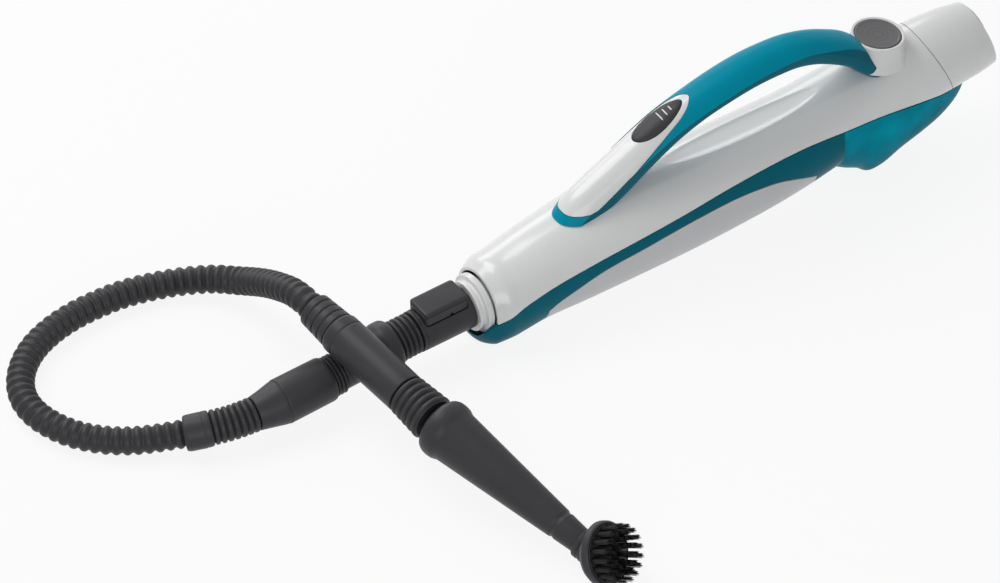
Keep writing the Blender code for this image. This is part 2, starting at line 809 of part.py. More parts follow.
def rear_cap():
    shares = np.linspace(SEAM_SHARE + GAP / BODY_LENGTH, 1.0, 7)
    outer = [body_ring(share, body_radius(share)) for share in shares]
    inner = [body_ring(share, body_radius(share) - WALL) for share in shares]
    piece = add_object("rear_cap", tube_mesh("rear_cap", outer, inner), WHITE, 0.25)
    half = 2 * BODY_RADIUS
    rings = []
    for share in np.linspace(SEAM_SHARE - 0.04, TANK_END_SHARE + GAP / BODY_LENGTH, 6):
        edge = body_point(share, edge_angle(share, UPPER_EDGE_SHARES), body_radius(share))
        top = edge.z + GAP
        corners = [(-half, -half), (half, -half), (half, top), (-half, top)]
        rings.append([Vector((edge.x, across, height)) for across, height in corners])
    cut(piece, loft("tank_room", rings))
    gland = gland_seat()
    hole = GLAND_RADIUS + GAP
    passage = [(-GLAND_LENGTH * 2, hole), (GLAND_LENGTH * 2, hole)]
    cut(piece, turned("gland_hole", passage, gland, SMALL_SIDES))
    return piece


def pole_socket():
    """Lined bore that takes the pole, with a flange that closes the cap round it."""
    flange = body_radius(0.985) - WALL - GAP * 4
    back = -SOCKET_WALL
    outer = SOCKET_RADIUS + SOCKET_WALL
    profile = [
        (-GAP * 3, SOCKET_RADIUS), (-GAP * 3, outer), (back, outer), (back, flange - GAP),
        (back * 2, flange), (back * 2, outer), (-SOCKET_DEPTH, outer), (-SOCKET_DEPTH, SOCKET_RADIUS),
    ]
    mesh = turned("pole_socket", profile, socket_seat(), bored=True)
    piece = add_object("pole_socket", mesh, PALE_GREY, 0.4)
    hook = hook_place()
    size = (LEVER_THICKNESS + 6 * GAP + BUTTON_TRAVEL, LEVER_WIDTH + 4 * GAP, SOCKET_RADIUS)
    cut(piece, block("hook_window", size, Matrix.Translation(hook + Vector((0, 0, SOCKET_WALL)))))
    return piece


def gland_seat():
    """Seat of the mains inlet on the far side of the rear cap."""
    share = (SEAM_SHARE + 1) / 2
    origin = body_point(share, 0.0, body_radius(share))
    return frame_at(origin, (0, 1, 0))


def cord_gland():
    rim = GLAND_FLANGE_RADIUS
    profile = [
        (GLAND_FLANGE + GAP, GLAND_BORE), (GLAND_FLANGE + GAP, rim * 0.8), (GLAND_FLANGE * 0.6, rim),
        (GAP * 2, rim), (GAP * 2, GLAND_RADIUS), (-GLAND_LENGTH, GLAND_RADIUS), (-GLAND_LENGTH, GLAND_BORE),
    ]
    return add_object("cord_gland", turned("cord_gland", profile, gland_seat(), 16, bored=True), DARK, 0.6)


def tank_section(share, inset):
    """Ring round the tank at a share of the length: its round belly, closed by the flat deck."""
    angle = edge_angle(share, UPPER_EDGE_SHARES)
    edge = body_point(share, angle, body_radius(share))
    top = edge.z - TANK_JOINT - inset
    floor = edge_height(share, TANK_FLOOR_SHARES) + inset
    half = edge.y - inset
    depth = max(top - floor, GAP)
    power = 2 / TANK_FULLNESS
    ring = []
    for turn in np.linspace(0, math.pi, 15):
        across = half * math.copysign(abs(math.cos(turn)) ** power, math.cos(turn))
        drop = depth * abs(math.sin(turn)) ** power
        ring.append(Vector((edge.x, across, max(top - drop, inset))))
    return ring


def water_tank():
    start = TANK_START_SHARE + 2 * GAP / BODY_LENGTH
    shares = [start] + [share for share in upper_shares() if start < share] + list(TANK_FOOT_SHARES)
    shares = sorted(shares + list(np.linspace(SEAM_SHARE, TANK_END_SHARE, 4))[1:])
    rings = [tank_section(share, 0.0) for share in shares]
    piece = add_object("water_tank", loft("water_tank", rings), TANK_TEAL, 0.12, 0.0, 0.6)
    wall = TANK_WALL / BODY_LENGTH
    room = np.linspace(start + wall, TANK_END_SHARE - 6 * wall, 8)
    hollow = [tank_section(share, TANK_WALL) for share in room]
    for share, radius, rise in ((FILLER_SHARE, FILLER_RADIUS + FILLER_WALL, FILLER_RISE),
                                (VALVE_SHARE, VALVE_SEAT_RADIUS, FILLER_RISE)):
        middle = deck_middle(share)
        boss = [(-TANK_WALL, radius), (rise, radius)]
        join(piece, turned("tank_boss", boss, Matrix.Translation(middle), 20))
    cut(piece, loft("tank_hollow", hollow))
    for share, radius in ((FILLER_SHARE, FILLER_RADIUS), (VALVE_SHARE, VALVE_RADIUS + GAP)):
        bore = [(-TANK_WALL - CUT_OVERRUN, radius), (CUT_OVERRUN, radius)]
        cut(piece, turned("tank_bore", bore, Matrix.Translation(deck_middle(share)), 20))
    set_origin(piece, deck_middle(VALVE_SHARE))
    return piece


def deck_middle(share):
    x = body_x(share)
    return Vector((x, 0, edge_height(share, UPPER_EDGE_SHARES) - TANK_JOINT))


def tank_cap():
    """Filler cap: a plug, a flange over the filler's rim and a bar to turn it by."""
    seat = Matrix.Translation(deck_middle(FILLER_SHARE) + Vector((0, 0, FILLER_RISE)))
    plug = FILLER_RADIUS - GAP
    flange = FILLER_RADIUS + FILLER_WALL - 2 * GAP
    top = FILLER_CAP_FLANGE + GAP
    profile = [(-FILLER_CAP_PLUG, plug), (GAP, plug), (GAP, flange), (top, flange)]
    piece = add_object("tank_cap", turned("tank_cap", profile, seat, 20), DARK, 0.5)
    size = (2 * flange * 0.8, FILLER_BAR_WIDTH, FILLER_BAR_HEIGHT)
    rise = Vector((0, 0, top + FILLER_BAR_HEIGHT / 2 - GAP))
    join(piece, block("turning_bar", size, seat @ Matrix.Translation(rise)))
    set_origin(piece, seat.translation)
    return piece


def tank_valve():
    """Outlet valve that stands on the tank's deck and plugs into the coupling."""
    seat = Matrix.Translation(deck_middle(VALVE_SHARE) + Vector((0, 0, FILLER_RISE)))
    rim = VALVE_SEAT_RADIUS - 2 * GAP
    profile = [
        (-TANK_WALL - FILLER_RISE, VALVE_BORE), (-TANK_WALL - FILLER_RISE, VALVE_RADIUS),
        (GAP, VALVE_RADIUS), (GAP, rim), (FILLER_RISE, rim),
        (FILLER_RISE, VALVE_RADIUS), (VALVE_HEIGHT, VALVE_RADIUS * 0.8),
        (VALVE_HEIGHT, VALVE_BORE),
    ]
    return add_object("tank_valve", turned("tank_valve", profile, seat, 16, bored=True), DARK, 0.5)


def bay_plate():
    """Floor of the body over the tank, with holes for the filler cap and the coupling."""
    first, last = TANK_START_SHARE + 4 * GAP / BODY_LENGTH, SEAM_SHARE - 0.02
    rings = []
    for share in [first] + [share for share in upper_shares() if first < share < last] + [last]:
        angle = edge_angle(share, UPPER_EDGE_SHARES)
        edge = body_point(share, angle, body_radius(share) - WALL)
        half = abs(edge.y) - 3 * GAP
        low, high = edge.z + 2 * GAP, edge.z + 2 * GAP + BAY_PLATE
        narrow = half - BAY_PLATE
        rings.append([Vector((edge.x, half, low)), Vector((edge.x, -half, low)),
                      Vector((edge.x, -narrow, high)), Vector((edge.x, narrow, high))])
    piece = add_object("bay_plate", loft("bay_plate", rings), PALE_GREY, 0.5)
    for share, radius in ((FILLER_SHARE, FILLER_RADIUS + FILLER_WALL + BAY_HOLE_CLEARANCE),
                          (VALVE_SHARE, VALVE_SEAT_RADIUS + 4 * GAP)):
        hole = [(-CUT_OVERRUN, radius), (2 * CUT_OVERRUN, radius)]
        cut(piece, turned("bay_hole", hole, Matrix.Translation(deck_middle(share)), 20))
    return piece


def tank_coupling():
    """Cup over the tank valve, with a spout towards the pump."""
    base = deck_middle(VALVE_SHARE) + Vector((0, 0, FILLER_RISE + BAY_PLATE + 7 * GAP))
    seat = Matrix.Translation(base)
    bore = VALVE_RADIUS + GAP
    outer = bore + COUPLING_WALL
    flange = VALVE_SEAT_RADIUS + CUT_OVERRUN * 0.7
    top = VALVE_HEIGHT - BAY_PLATE
    profile = [(0, flange), (COUPLING_WALL * 0.7, flange), (COUPLING_WALL * 0.7, outer),
               (top + COUPLING_TOP, outer)]
    piece = add_object("tank_coupling", turned("tank_coupling", profile, seat, 20), DARK, 0.5)
    spout = frame_at(base + Vector((0, 0, top * 0.9)), (-1, 0, 0))
    length = outer + 2 * CUT_OVERRUN
    join(piece, turned("coupling_spout", [(bore * 0.9, TUBE_BORE), (length, TUBE_BORE)], spout, SMALL_SIDES))
    cut(piece, turned("valve_bore", [(-CUT_OVERRUN, bore), (top, bore)], seat, 20))
    return piece


def collar_profile(grow):
    """Outline of the collar round the button, as height and radius."""
    wall = BUTTON_RADIUS + GAP + COLLAR_WALL + grow
    return [
        (-COLLAR_HEIGHT, wall + COLLAR_FLARE), (-COLLAR_HEIGHT * 0.6, wall + COLLAR_FLARE * 0.4),
        (-COLLAR_HEIGHT * 0.3, wall), (-GAP * 2, wall), (0, wall - GAP * 2),
    ]


def release_button():
    """Dished round button with the stem that works the pole latch."""
    seat = button_seat()
    radius = BUTTON_RADIUS
    profile = [
        (-BUTTON_STEM_LENGTH, BUTTON_STEM_RADIUS), (-BUTTON_THICKNESS, BUTTON_STEM_RADIUS),
        (-BUTTON_THICKNESS, radius), (-BUTTON_CROWN, radius), (0, radius - BUTTON_CROWN),
        (-BUTTON_CROWN, radius * 0.45),
    ]
    piece = add_object("release_button", turned("release_button", profile, seat, 28), DARK, 0.45)
    set_origin(piece, seat.translation)
    return piece


def lever_pivot():
    """Where the latch lever's pin crosses the body's middle plane."""
    foot = button_seat() @ Vector((0, 0, -BUTTON_STEM_LENGTH))
    drop = BUTTON_STEM_RADIUS * math.sin(BUTTON_TILT) + GAP / 2 + LEVER_THICKNESS / 2
    return foot + Vector((LEVER_ARM, 0, -drop))


def hook_place():
    """Middle of the hook's root, above the pole socket's window."""
    place = lever_pivot() + Vector((LEVER_HOOK_ARM, 0, 0))
    along = socket_seat().inverted() @ place
    wall = socket_seat() @ Vector((0, 0, along.z))
    return Vector((place.x, 0, wall.z + SOCKET_RADIUS))


def release_lever():
    """Rocking lever: the button presses its front arm, and its rear hook holds the pole."""
    pivot = lever_pivot()
    hook = hook_place()
    back = LEVER_ARM + BUTTON_STEM_RADIUS
    length = back + LEVER_HOOK_ARM + LEVER_THICKNESS / 2
    middle = pivot + Vector((length / 2 - back, 0, 0))
    mesh = block("release_lever", (length, LEVER_WIDTH, LEVER_THICKNESS), Matrix.Translation(middle))
    piece = add_object("release_lever", mesh, PALE_GREY, 0.5)
    tip = hook.z - HOOK_BITE
    size = (LEVER_THICKNESS, LEVER_WIDTH, pivot.z - tip)
    join(piece, block("hook", size, Matrix.Translation((hook.x, 0, (pivot.z + tip) / 2))))
    hub = LEVER_PIN_RADIUS + GAP + LEVER_THICKNESS / 2
    half = LEVER_WIDTH / 2 - GAP / 3
    axle = frame_at(pivot, (0, 1, 0))
    join(piece, turned("hub", [(-half, hub), (half, hub)], axle, 16))
    hole = LEVER_PIN_RADIUS + GAP
    cut(piece, turned("lever_bore", [(-LEVER_WIDTH, hole), (LEVER_WIDTH, hole)], axle, SMALL_SIDES))
    set_origin(piece, pivot)
    return piece


def lever_pin():
    half = LEVER_WIDTH / 2 + GAP + LEVER_EAR_WIDTH
    profile = [(-half, LEVER_PIN_RADIUS), (half, LEVER_PIN_RADIUS)]
    mesh = turned("lever_pin", profile, frame_at(lever_pivot(), (0, 1, 0)), SMALL_SIDES)
    return add_object("lever_pin", mesh, STEEL, 0.3, 1.0)


def coil_spring(name, seat, low, high, radius, wire, turns):
    """Compression spring between two heights on its seat's axis."""
    bottom, top = low + wire + GAP, high - wire - GAP
    steps = turns * 8
    path = [
        seat @ Vector((radius * math.cos(turn), radius * math.sin(turn), bottom + (top - bottom) * part))
        for part, turn in ((step / steps, 2 * math.pi * turns * step / steps) for step in range(steps + 1))
    ]
    curve = bpy.data.curves.new(name, "CURVE")
    curve.dimensions = "3D"
    curve.bevel_depth = wire
    curve.bevel_resolution = 1
    curve.use_fill_caps = True
    spline = curve.splines.new("POLY")
    spline.points.add(len(path) - 1)
    for point, place in zip(spline.points, path):
        point.co = (*place, 1.0)
    piece = bpy.data.objects.new(name, curve)
    bpy.context.collection.objects.link(piece)
    curve.materials.append(material(name, STEEL, 0.3, 1.0))
    print(name, "least gap between turns", round((top - bottom) / turns - 2 * wire, 5))
    return piece


def handle_share_place(share):
    """Centre, direction, outward normal and half sizes of the handle's section."""
    def centre(at):
        return Vector((body_x(at), 0, HANDLE_HEIGHT * read_shares(HANDLE_SHARES, at, 1)))
    step = 0.002
    along = (centre(share + step) - centre(share - step)).normalized()
    normal = along.cross(Vector((0, 1, 0))) * -1
    if normal.z < 0:
        normal = -normal
    half_width = HANDLE_HALF_WIDTH * read_shares(HANDLE_SHARES, share, 2)
    half_height = HANDLE_HALF_HEIGHT * read_shares(HANDLE_SHARES, share, 3)
    return centre(share), along, normal, half_width, half_height


def handle_point(share, turn, grow):
    middle, _, normal, half_width, half_height = handle_share_place(share)
    across = math.copysign(abs(math.cos(turn)) ** 0.85, math.cos(turn)) * (half_width + grow)
    up = math.copysign(abs(math.sin(turn)) ** 0.85, math.sin(turn)) * (half_height + grow)
    return middle + Vector((0, across, 0)) + normal * up


def cover_solid(name, grow, lift, depth):
    """Cap over the front of the handle: grown at its edge, lifted off its skin and this deep."""
    start, tip = COVER_EDGE_SHARES[0][0], COVER_EDGE_SHARES[-1][0]
    rings = []
    shares = list(np.linspace(start, tip, 14))
    shares[-1] += grow / BODY_LENGTH
    for share in shares:
        edge = math.pi / 2 * min(0.98, read_shares(COVER_EDGE_SHARES, min(share, tip), 1))
        edge -= grow / HANDLE_HALF_WIDTH
        turns = np.linspace(edge, math.pi - edge, 9)
        skin = [handle_point(share, turn, lift) for turn in turns]
        under = [handle_point(share, turn, -depth) for turn in turns]
        rings.append(skin + under[::-1])
    return loft(name, rings)


def steam_button_seat():
    """Seat on the handle's skin under the steam button: local Z outwards, local Y along the handle."""
    middle, along, normal, _, half_height = handle_share_place(STEAM_BUTTON_SHARE)
    return frame_at(middle + normal * half_height, normal, up=along)


def skin_height(along, across):
    """Height of the handle's skin over the steam button's seat."""
    into = steam_button_seat().inverted()
    places, heights = [], []
    for share in np.linspace(STEAM_BUTTON_SHARE - 0.08, STEAM_BUTTON_SHARE + 0.08, 33):
        middle, _, normal, half_width, half_height = handle_share_place(share)
        part = min(0.98, abs(across) / half_width)
        rise = half_height * (1 - part ** (2 / 0.85)) ** (0.85 / 2)
        local = into @ (middle + normal * rise)
        places.append(local.y)
        heights.append(local.z)
    order = np.argsort(places)
    return float(np.interp(along, np.array(places)[order], np.array(heights)[order]))


def button_outline(grow, scale=1.0):
    """Egg outline of the steam button, wider at the front, as (across, along) pairs."""
    half_length = STEAM_BUTTON_LENGTH / 2 * scale + grow
    half_width = STEAM_BUTTON_WIDTH / 2 * scale + grow
    turns = np.linspace(0, 2 * math.pi, 25)[:-1]
    return [(half_width * math.cos(turn) * (1 - 0.16 * math.sin(turn)), half_length * math.sin(turn))
            for turn in turns]


def outline_prism(name, grow, low, high):
    seat = steam_button_seat()
    rings = [[seat @ Vector((x, y, height)) for x, y in button_outline(grow)] for height in (low, high)]
    return loft(name, rings)


def steam_button():
    seat = steam_button_seat()
    rings = [[seat @ Vector((x, y, -STEAM_BUTTON_DEPTH)) for x, y in button_outline(0)]]
    for scale, drop in ((1.0, 2 * GAP), (0.94, 0.0), (0.6, 0.0), (0.25, 0.0)):
        rise = STEAM_BUTTON_RISE - drop
        rings.append([seat @ Vector((x, y, skin_height(y, x) + rise)) for x, y in button_outline(0, scale)])
    piece = add_object("steam_button", loft("steam_button", rings), DARK, 0.35)
    set_origin(piece, seat.translation)
    return piece


def switch_room():
    """Height of the switch pocket's floor below the handle's skin."""
    return STEAM_BUTTON_DEPTH + STEAM_BUTTON_TRAVEL + 3 * GAP + STEAM_SWITCH_SIZE[2]


def handle_cover():
    piece = add_object("handle_cover", cover_solid("handle_cover", 0, 0, COVER_WALL), WHITE, 0.25)
    cut(piece, body_envelope("cover_foot", TOE_BAND))
    cut(piece, outline_prism("cover_window", GAP, -2 * CUT_OVERRUN, 2 * CUT_OVERRUN))
    return piece


def handle_grip():
    """Loop handle: its front foot and its forked tail are cut to the body and the collar."""
    start, end = HANDLE_SHARES[0][0], HANDLE_SHARES[-1][0]
    turns = np.linspace(0, 2 * math.pi, 17)[:-1]
    rings = [[handle_point(share, turn, 0) for turn in turns] for share in np.linspace(start, end, 22)]
    piece = add_object("handle_grip", loft("handle_grip", rings), TEAL, 0.35)
    cut(piece, body_envelope("grip_foot", 2 * GAP))
    cut(piece, turned("collar_room", collar_profile(2 * GAP), button_seat()))
    recess = tool(cover_solid("cover_recess", 3 * GAP, CUT_OVERRUN, COVER_WALL + 3 * GAP))
    cut(recess, body_envelope("recess_foot", TOE_BAND - GAP))
    step = piece.modifiers.new("cover_recess", "BOOLEAN")
    step.object = recess
    floor = STEAM_BUTTON_DEPTH + STEAM_BUTTON_TRAVEL + 2 * GAP
    cut(piece, outline_prism("button_pocket", GAP, -floor, 2 * CUT_OVERRUN))
    top = 3 * CUT_OVERRUN
    depth = switch_room() + top
    size = (SWITCH_POCKET_WIDTH, SWITCH_POCKET_LENGTH, depth)
    rise = Vector((0, 0, top - depth / 2))
    cut(piece, block("switch_pocket", size, steam_button_seat() @ Matrix.Translation(rise)))
    return piece


def steam_switch():
    """Snap switch under the steam button, with its plunger."""
    length, width, height = STEAM_SWITCH_SIZE
    seat = steam_button_seat()
    floor = -switch_room() + GAP
    middle = Matrix.Translation(Vector((0, 0, floor + height / 2)))
    case = block("steam_switch", (width, length, height), seat @ middle)
    piece = add_object("steam_switch", case, BLACK, 0.5)
    top = floor + height
    knob = [(top - GAP, width * 0.2), (top + GAP, width * 0.2)]
    join(piece, turned("plunger", knob, seat, SMALL_SIDES))
    return piece


def inner_direction(share):
    step = 0.01
    return (inner_axis(share + step) - inner_axis(share - step)).normalized()


def boiler_middle():
    """Middle of the boiler, whose rear face keeps its place when the length changes."""
    return inner_axis(BOILER_SHARE) + inner_direction(BOILER_SHARE) * (BOILER_REAR - BOILER_LENGTH / 2)


def boiler_end(side):
    """Middle of the boiler's front (-1) or rear (+1) face."""
    return boiler_middle() + inner_direction(BOILER_SHARE) * side * BOILER_LENGTH / 2


def boiler():
    """Cast heater body with cooling ribs over its rear half."""
    half = BOILER_LENGTH / 2
    profile = [(-half, BOILER_RADIUS - BOILER_FIN), (-half + BOILER_FIN, BOILER_RADIUS)]
    pitch = half * 0.8 / BOILER_FIN_COUNT
    for index in range(BOILER_FIN_COUNT):
        start = index * pitch
        profile += [(start, BOILER_RADIUS), (start, BOILER_RADIUS + BOILER_FIN),
                    (start + pitch / 2, BOILER_RADIUS + BOILER_FIN), (start + pitch / 2, BOILER_RADIUS)]
    profile += [(half - BOILER_FIN, BOILER_RADIUS), (half, BOILER_RADIUS - BOILER_FIN)]
    seat = frame_at(boiler_middle(), inner_direction(BOILER_SHARE))
    return add_object("boiler", turned("boiler", profile, seat), CAST, 0.5, 0.9)


def boiler_top_seat(forward, around):
    """Seat on the boiler's skin, forward of its middle and round from its top."""
    axis = inner_direction(BOILER_SHARE)
    up = Vector((-axis.z, 0, axis.x))
    outwards = up * math.cos(around) + Vector((0, 1, 0)) * math.sin(around)
    return frame_at(boiler_middle() - axis * forward + outwards * (BOILER_RADIUS + GAP), outwards)


def thermostat():
    seat = boiler_top_seat(BOILER_LENGTH * 0.2, 0.0)
    cap = THERMOSTAT_RADIUS * 0.7
    profile = [(0, THERMOSTAT_RADIUS), (THERMOSTAT_HEIGHT * 0.4, THERMOSTAT_RADIUS),
               (THERMOSTAT_HEIGHT * 0.4, cap), (THERMOSTAT_HEIGHT, cap)]
    return add_object("thermostat", turned("thermostat", profile, seat, 16), BLACK, 0.4)


def thermal_fuse():
    seat = boiler_top_seat(BOILER_LENGTH * 0.2, math.radians(60))
    along = seat @ Matrix.Translation((0, 0, FUSE_RADIUS)) @ Matrix.Rotation(math.pi / 2, 4, "X")
    half = FUSE_LENGTH / 2
    profile = [(-half, FUSE_RADIUS * 0.6), (-half * 0.7, FUSE_RADIUS), (half * 0.7, FUSE_RADIUS),
               (half, FUSE_RADIUS * 0.6)]
    return add_object("thermal_fuse", turned("thermal_fuse", profile, along, 10), STEEL, 0.35, 1.0)


def pump_place(along):
    """Point on the pump's axis, a distance behind its middle."""
    return inner_axis(PUMP_SHARE) + inner_direction(PUMP_SHARE) * along


def water_pump():
    """Vibration pump: coil housing, necks and a spout at each end."""
    half, neck = PUMP_LENGTH / 2, PUMP_LENGTH / 2 + PUMP_NECK_LENGTH
    spout = neck + PUMP_SPOUT_LENGTH
    outline = [(half, PUMP_RADIUS), (half, PUMP_NECK_RADIUS), (neck, PUMP_NECK_RADIUS),
               (neck, PUMP_SPOUT_RADIUS), (spout, PUMP_SPOUT_RADIUS)]
    profile = [(-along, radius) for along, radius in reversed(outline)] + outline
    seat = frame_at(inner_axis(PUMP_SHARE), inner_direction(PUMP_SHARE))
    return add_object("water_pump", turned("water_pump", profile, seat, 20), BLACK, 0.45)


def pump_mount(name, side):
    bore = PUMP_RADIUS + GAP
    half = MOUNT_WIDTH / 2
    middle = side * (PUMP_LENGTH - MOUNT_WIDTH) / 2
    seat = frame_at(pump_place(middle), inner_direction(PUMP_SHARE))
    profile = [(-half, bore), (-half, MOUNT_RADIUS), (half, MOUNT_RADIUS), (half, bore)]
    return add_object(name, turned(name, profile, seat, 20, bored=True), BLACK, 0.8)


def board_middle():
    """Middle of the control board, which hangs from posts over the pump."""
    base = inner_axis(BOARD_SHARE)
    return base + Vector((0, 0, MOUNT_RADIUS + BOARD_SIZE[2] * 3.2))


def board_seat():
    return frame_at(board_middle(), inner_direction(BOARD_SHARE).cross(Vector((0, 1, 0))), up=(0, 1, 0))


def control_board():
    length, width, thickness = BOARD_SIZE
    seat = board_seat()
    plate = block("control_board", (length, width, thickness), seat)
    piece = add_object("control_board", plate, BOARD_GREEN, 0.5)
    tall = thickness * 3
    for along, across, part in ((-0.28, -0.2, 0.24), (0.05, 0.22, 0.18), (0.3, -0.1, 0.2)):
        middle = seat @ Matrix.Translation((along * length, across * width, tall / 2))
        join(piece, block("board_part", (part * length, part * width, tall), middle))
    return piece


def board_posts():
    """Four posts from the upper housing down to the board's corners."""
    length, width, thickness = BOARD_SIZE
    seat = board_seat()
    posts = []
    for along in (-1, 1):
        for across in (-1, 1):
            foot = seat @ Vector((along * length * 0.44, across * width * 0.4, thickness / 2 + 2 * GAP))
            share = body_share(foot.x)
            reach = math.sqrt((body_radius(share) - WALL / 2) ** 2 - foot.y ** 2)
            height = axis_height(share) + reach - foot.z
            profile = [(0, BOARD_POST_RADIUS), (height, BOARD_POST_RADIUS)]
            posts.append(turned("board_post", profile, Matrix.Translation(foot), 8))
    return posts


def smooth_path(points, count):
    """Evenly spread points along a smooth curve through the route's points."""
    route = [Vector(point) for point in points]
    lengths = [0.0]
    for first, second in zip(route, route[1:]):
        lengths.append(lengths[-1] + (second - first).length)
    stations = np.array(lengths)
    axes = [np.array([point[axis] for point in route]) for axis in range(3)]
    fine = [Vector([smooth(place, stations, axis) for axis in axes])
            for place in np.linspace(0, lengths[-1], 8 * count)]
    run = [0.0]
    for first, second in zip(fine, fine[1:]):
        run.append(run[-1] + (second - first).length)
    places = np.linspace(0, run[-1], count)
    return [Vector([float(np.interp(place, run, [point[axis] for point in fine])) for axis in range(3)])
            for place in places]


def path_rings(points, radii, sides):
    """Rings of points square to a path."""
    rings = []
    up = Vector((0, 0, 1))
    for index, point in enumerate(points):
        before = points[max(0, index - 1)]
        after = points[min(len(points) - 1, index + 1)]
        seat = frame_at(point, after - before, up)
        up = seat.to_3x3() @ Vector((0, 1, 0))
        rings.append(circle(seat, 0, radii[index], sides))
    return rings


def inner_tube(name, route, count, color):
    """Silicone tube along a route, with its bore."""
    points = smooth_path(route, count)
    outer = path_rings(points, [TUBE_RADIUS] * len(points), 8)
    inner = path_rings(points, [TUBE_BORE] * len(points), 8)
    return add_object(name, tube_mesh(name, outer, inner), color, 0.5)


def steam_pipe():
    """Pipe from the boiler's front, through the nose ring's back wall, into the plug's bore."""
    seat = nose_seat()
    front = boiler_end(-1) - inner_direction(BOILER_SHARE) * GAP
    lead = -inner_direction(BOILER_SHARE)
    inside = Vector((0, 0, -PLUG_LENGTH / 2))
    back = Vector((0, 0, -NOSE_RING_LENGTH))
    route = [seat @ inside, seat @ back, seat @ (back * 1.35), front + lead * 0.18 * BOILER_LENGTH, front]
    points = smooth_path(route, 12)
    outer = path_rings(points, [STEAM_PIPE_RADIUS] * len(points), 8)
    inner = path_rings(points, [STEAM_PIPE_BORE] * len(points), 8)
    return add_object("steam_pipe", tube_mesh("steam_pipe", outer, inner), BRASS, 0.3, 1.0)


def pressure_tube():
    """From the pump's front spout to the boiler's rear face."""
    start = pump_place(-(PUMP_LENGTH / 2 + PUMP_NECK_LENGTH + PUMP_SPOUT_LENGTH + 2 * GAP))
    end = boiler_end(1) + inner_direction(BOILER_SHARE) * 2 * GAP
    third = (start - end) / 3
    return inner_tube("pressure_tube", [start, start - third, end + third, end], 5, SILICONE)


def water_tube():
    """From the tank coupling's spout to the pump's rear spout."""
    base = deck_middle(VALVE_SHARE) + Vector((0, 0, FILLER_RISE + BAY_PLATE + 7 * GAP))
    reach = VALVE_RADIUS + GAP + COUPLING_WALL + 2 * CUT_OVERRUN + 2 * GAP
    start = base + Vector((-reach, 0, (VALVE_HEIGHT - BAY_PLATE) * 0.9))
    end = pump_place(PUMP_LENGTH / 2 + PUMP_NECK_LENGTH + PUMP_SPOUT_LENGTH + 2 * GAP)
    lead = inner_direction(PUMP_SHARE) * TUBE_RADIUS
    cap_top = FILLER_RISE + FILLER_CAP_FLANGE + FILLER_BAR_HEIGHT
    over = deck_middle(FILLER_SHARE) + Vector((0, 0, cap_top + 2.0 * TUBE_RADIUS))
    front = deck_middle(TANK_START_SHARE)
    bend_shares = ((1.5, 3.2), (-1.9, 1.6), (-2.6, -1.6), (-2.7, -4.2))
    bend = [front + Vector((ahead, 0, up)) * TUBE_RADIUS for ahead, up in bend_shares]
    route = [start, start + Vector((-1.2, 0, 0.3)) * TUBE_RADIUS, over] + bend + [end + lead, end]
    return inner_tube("water_tube", route, 22, SILICONE)


def connector_seat():
    """Seat at the connector's face, with local Z out of the nose and local Y upwards."""
    return nose_seat() @ Matrix.Translation((0, 0, GAP))


def latch_box(name, grow, low, high):
    """Upright box over the connector, the plan of the latch block grown by a clearance."""
    seat = connector_seat()
    middle = Vector((0, (low + high) / 2, LATCH_BLOCK_SETBACK + LATCH_BLOCK_LENGTH / 2))
    size = (LATCH_BLOCK_WIDTH + 2 * grow, high - low, LATCH_BLOCK_LENGTH + 2 * grow)
    return block(name, size, seat @ Matrix.Translation(middle))


def tongue_box(name, grow, low, high):
    """Box along the top of the plug for the latch's tongue."""
    seat = connector_seat()
    start = LATCH_BLOCK_SETBACK + WALL + 2 * grow
    length = start + LATCH_TONGUE_LENGTH
    middle = Vector((0, (low + high) / 2, start - (length + grow) / 2))
    size = (LATCH_TONGUE_WIDTH + 2 * grow, high - low, length + grow)
    return block(name, size, seat @ Matrix.Translation(middle))


def hose_connector():
    """Connector body with its plug, the latch's pocket and the steam bore."""
    seat = connector_seat()
    edge = WALL * 0.6
    profile = [
        (-PLUG_LENGTH, LINE_BORE), (-PLUG_LENGTH, PLUG_RADIUS - edge), (-PLUG_LENGTH + edge, PLUG_RADIUS),
        (0, PLUG_RADIUS), (0, CONNECTOR_RADIUS), (CONNECTOR_LENGTH, CONNECTOR_RADIUS),
        (CONNECTOR_LENGTH, LINE_BORE),
    ]
    mesh = turned("hose_connector", profile, seat, bored=True)
    piece = add_object("hose_connector", mesh, DARK, 0.5)
    tongue_floor = LATCH_BLOCK_SEAT - LATCH_TONGUE_THICKNESS
    cut(piece, latch_box("latch_pocket", GAP, LATCH_BLOCK_SEAT, LATCH_BLOCK_TOP + CUT_OVERRUN))
    cut(piece, tongue_box("tongue_slot", GAP, tongue_floor, CONNECTOR_RADIUS + CUT_OVERRUN))
    return piece


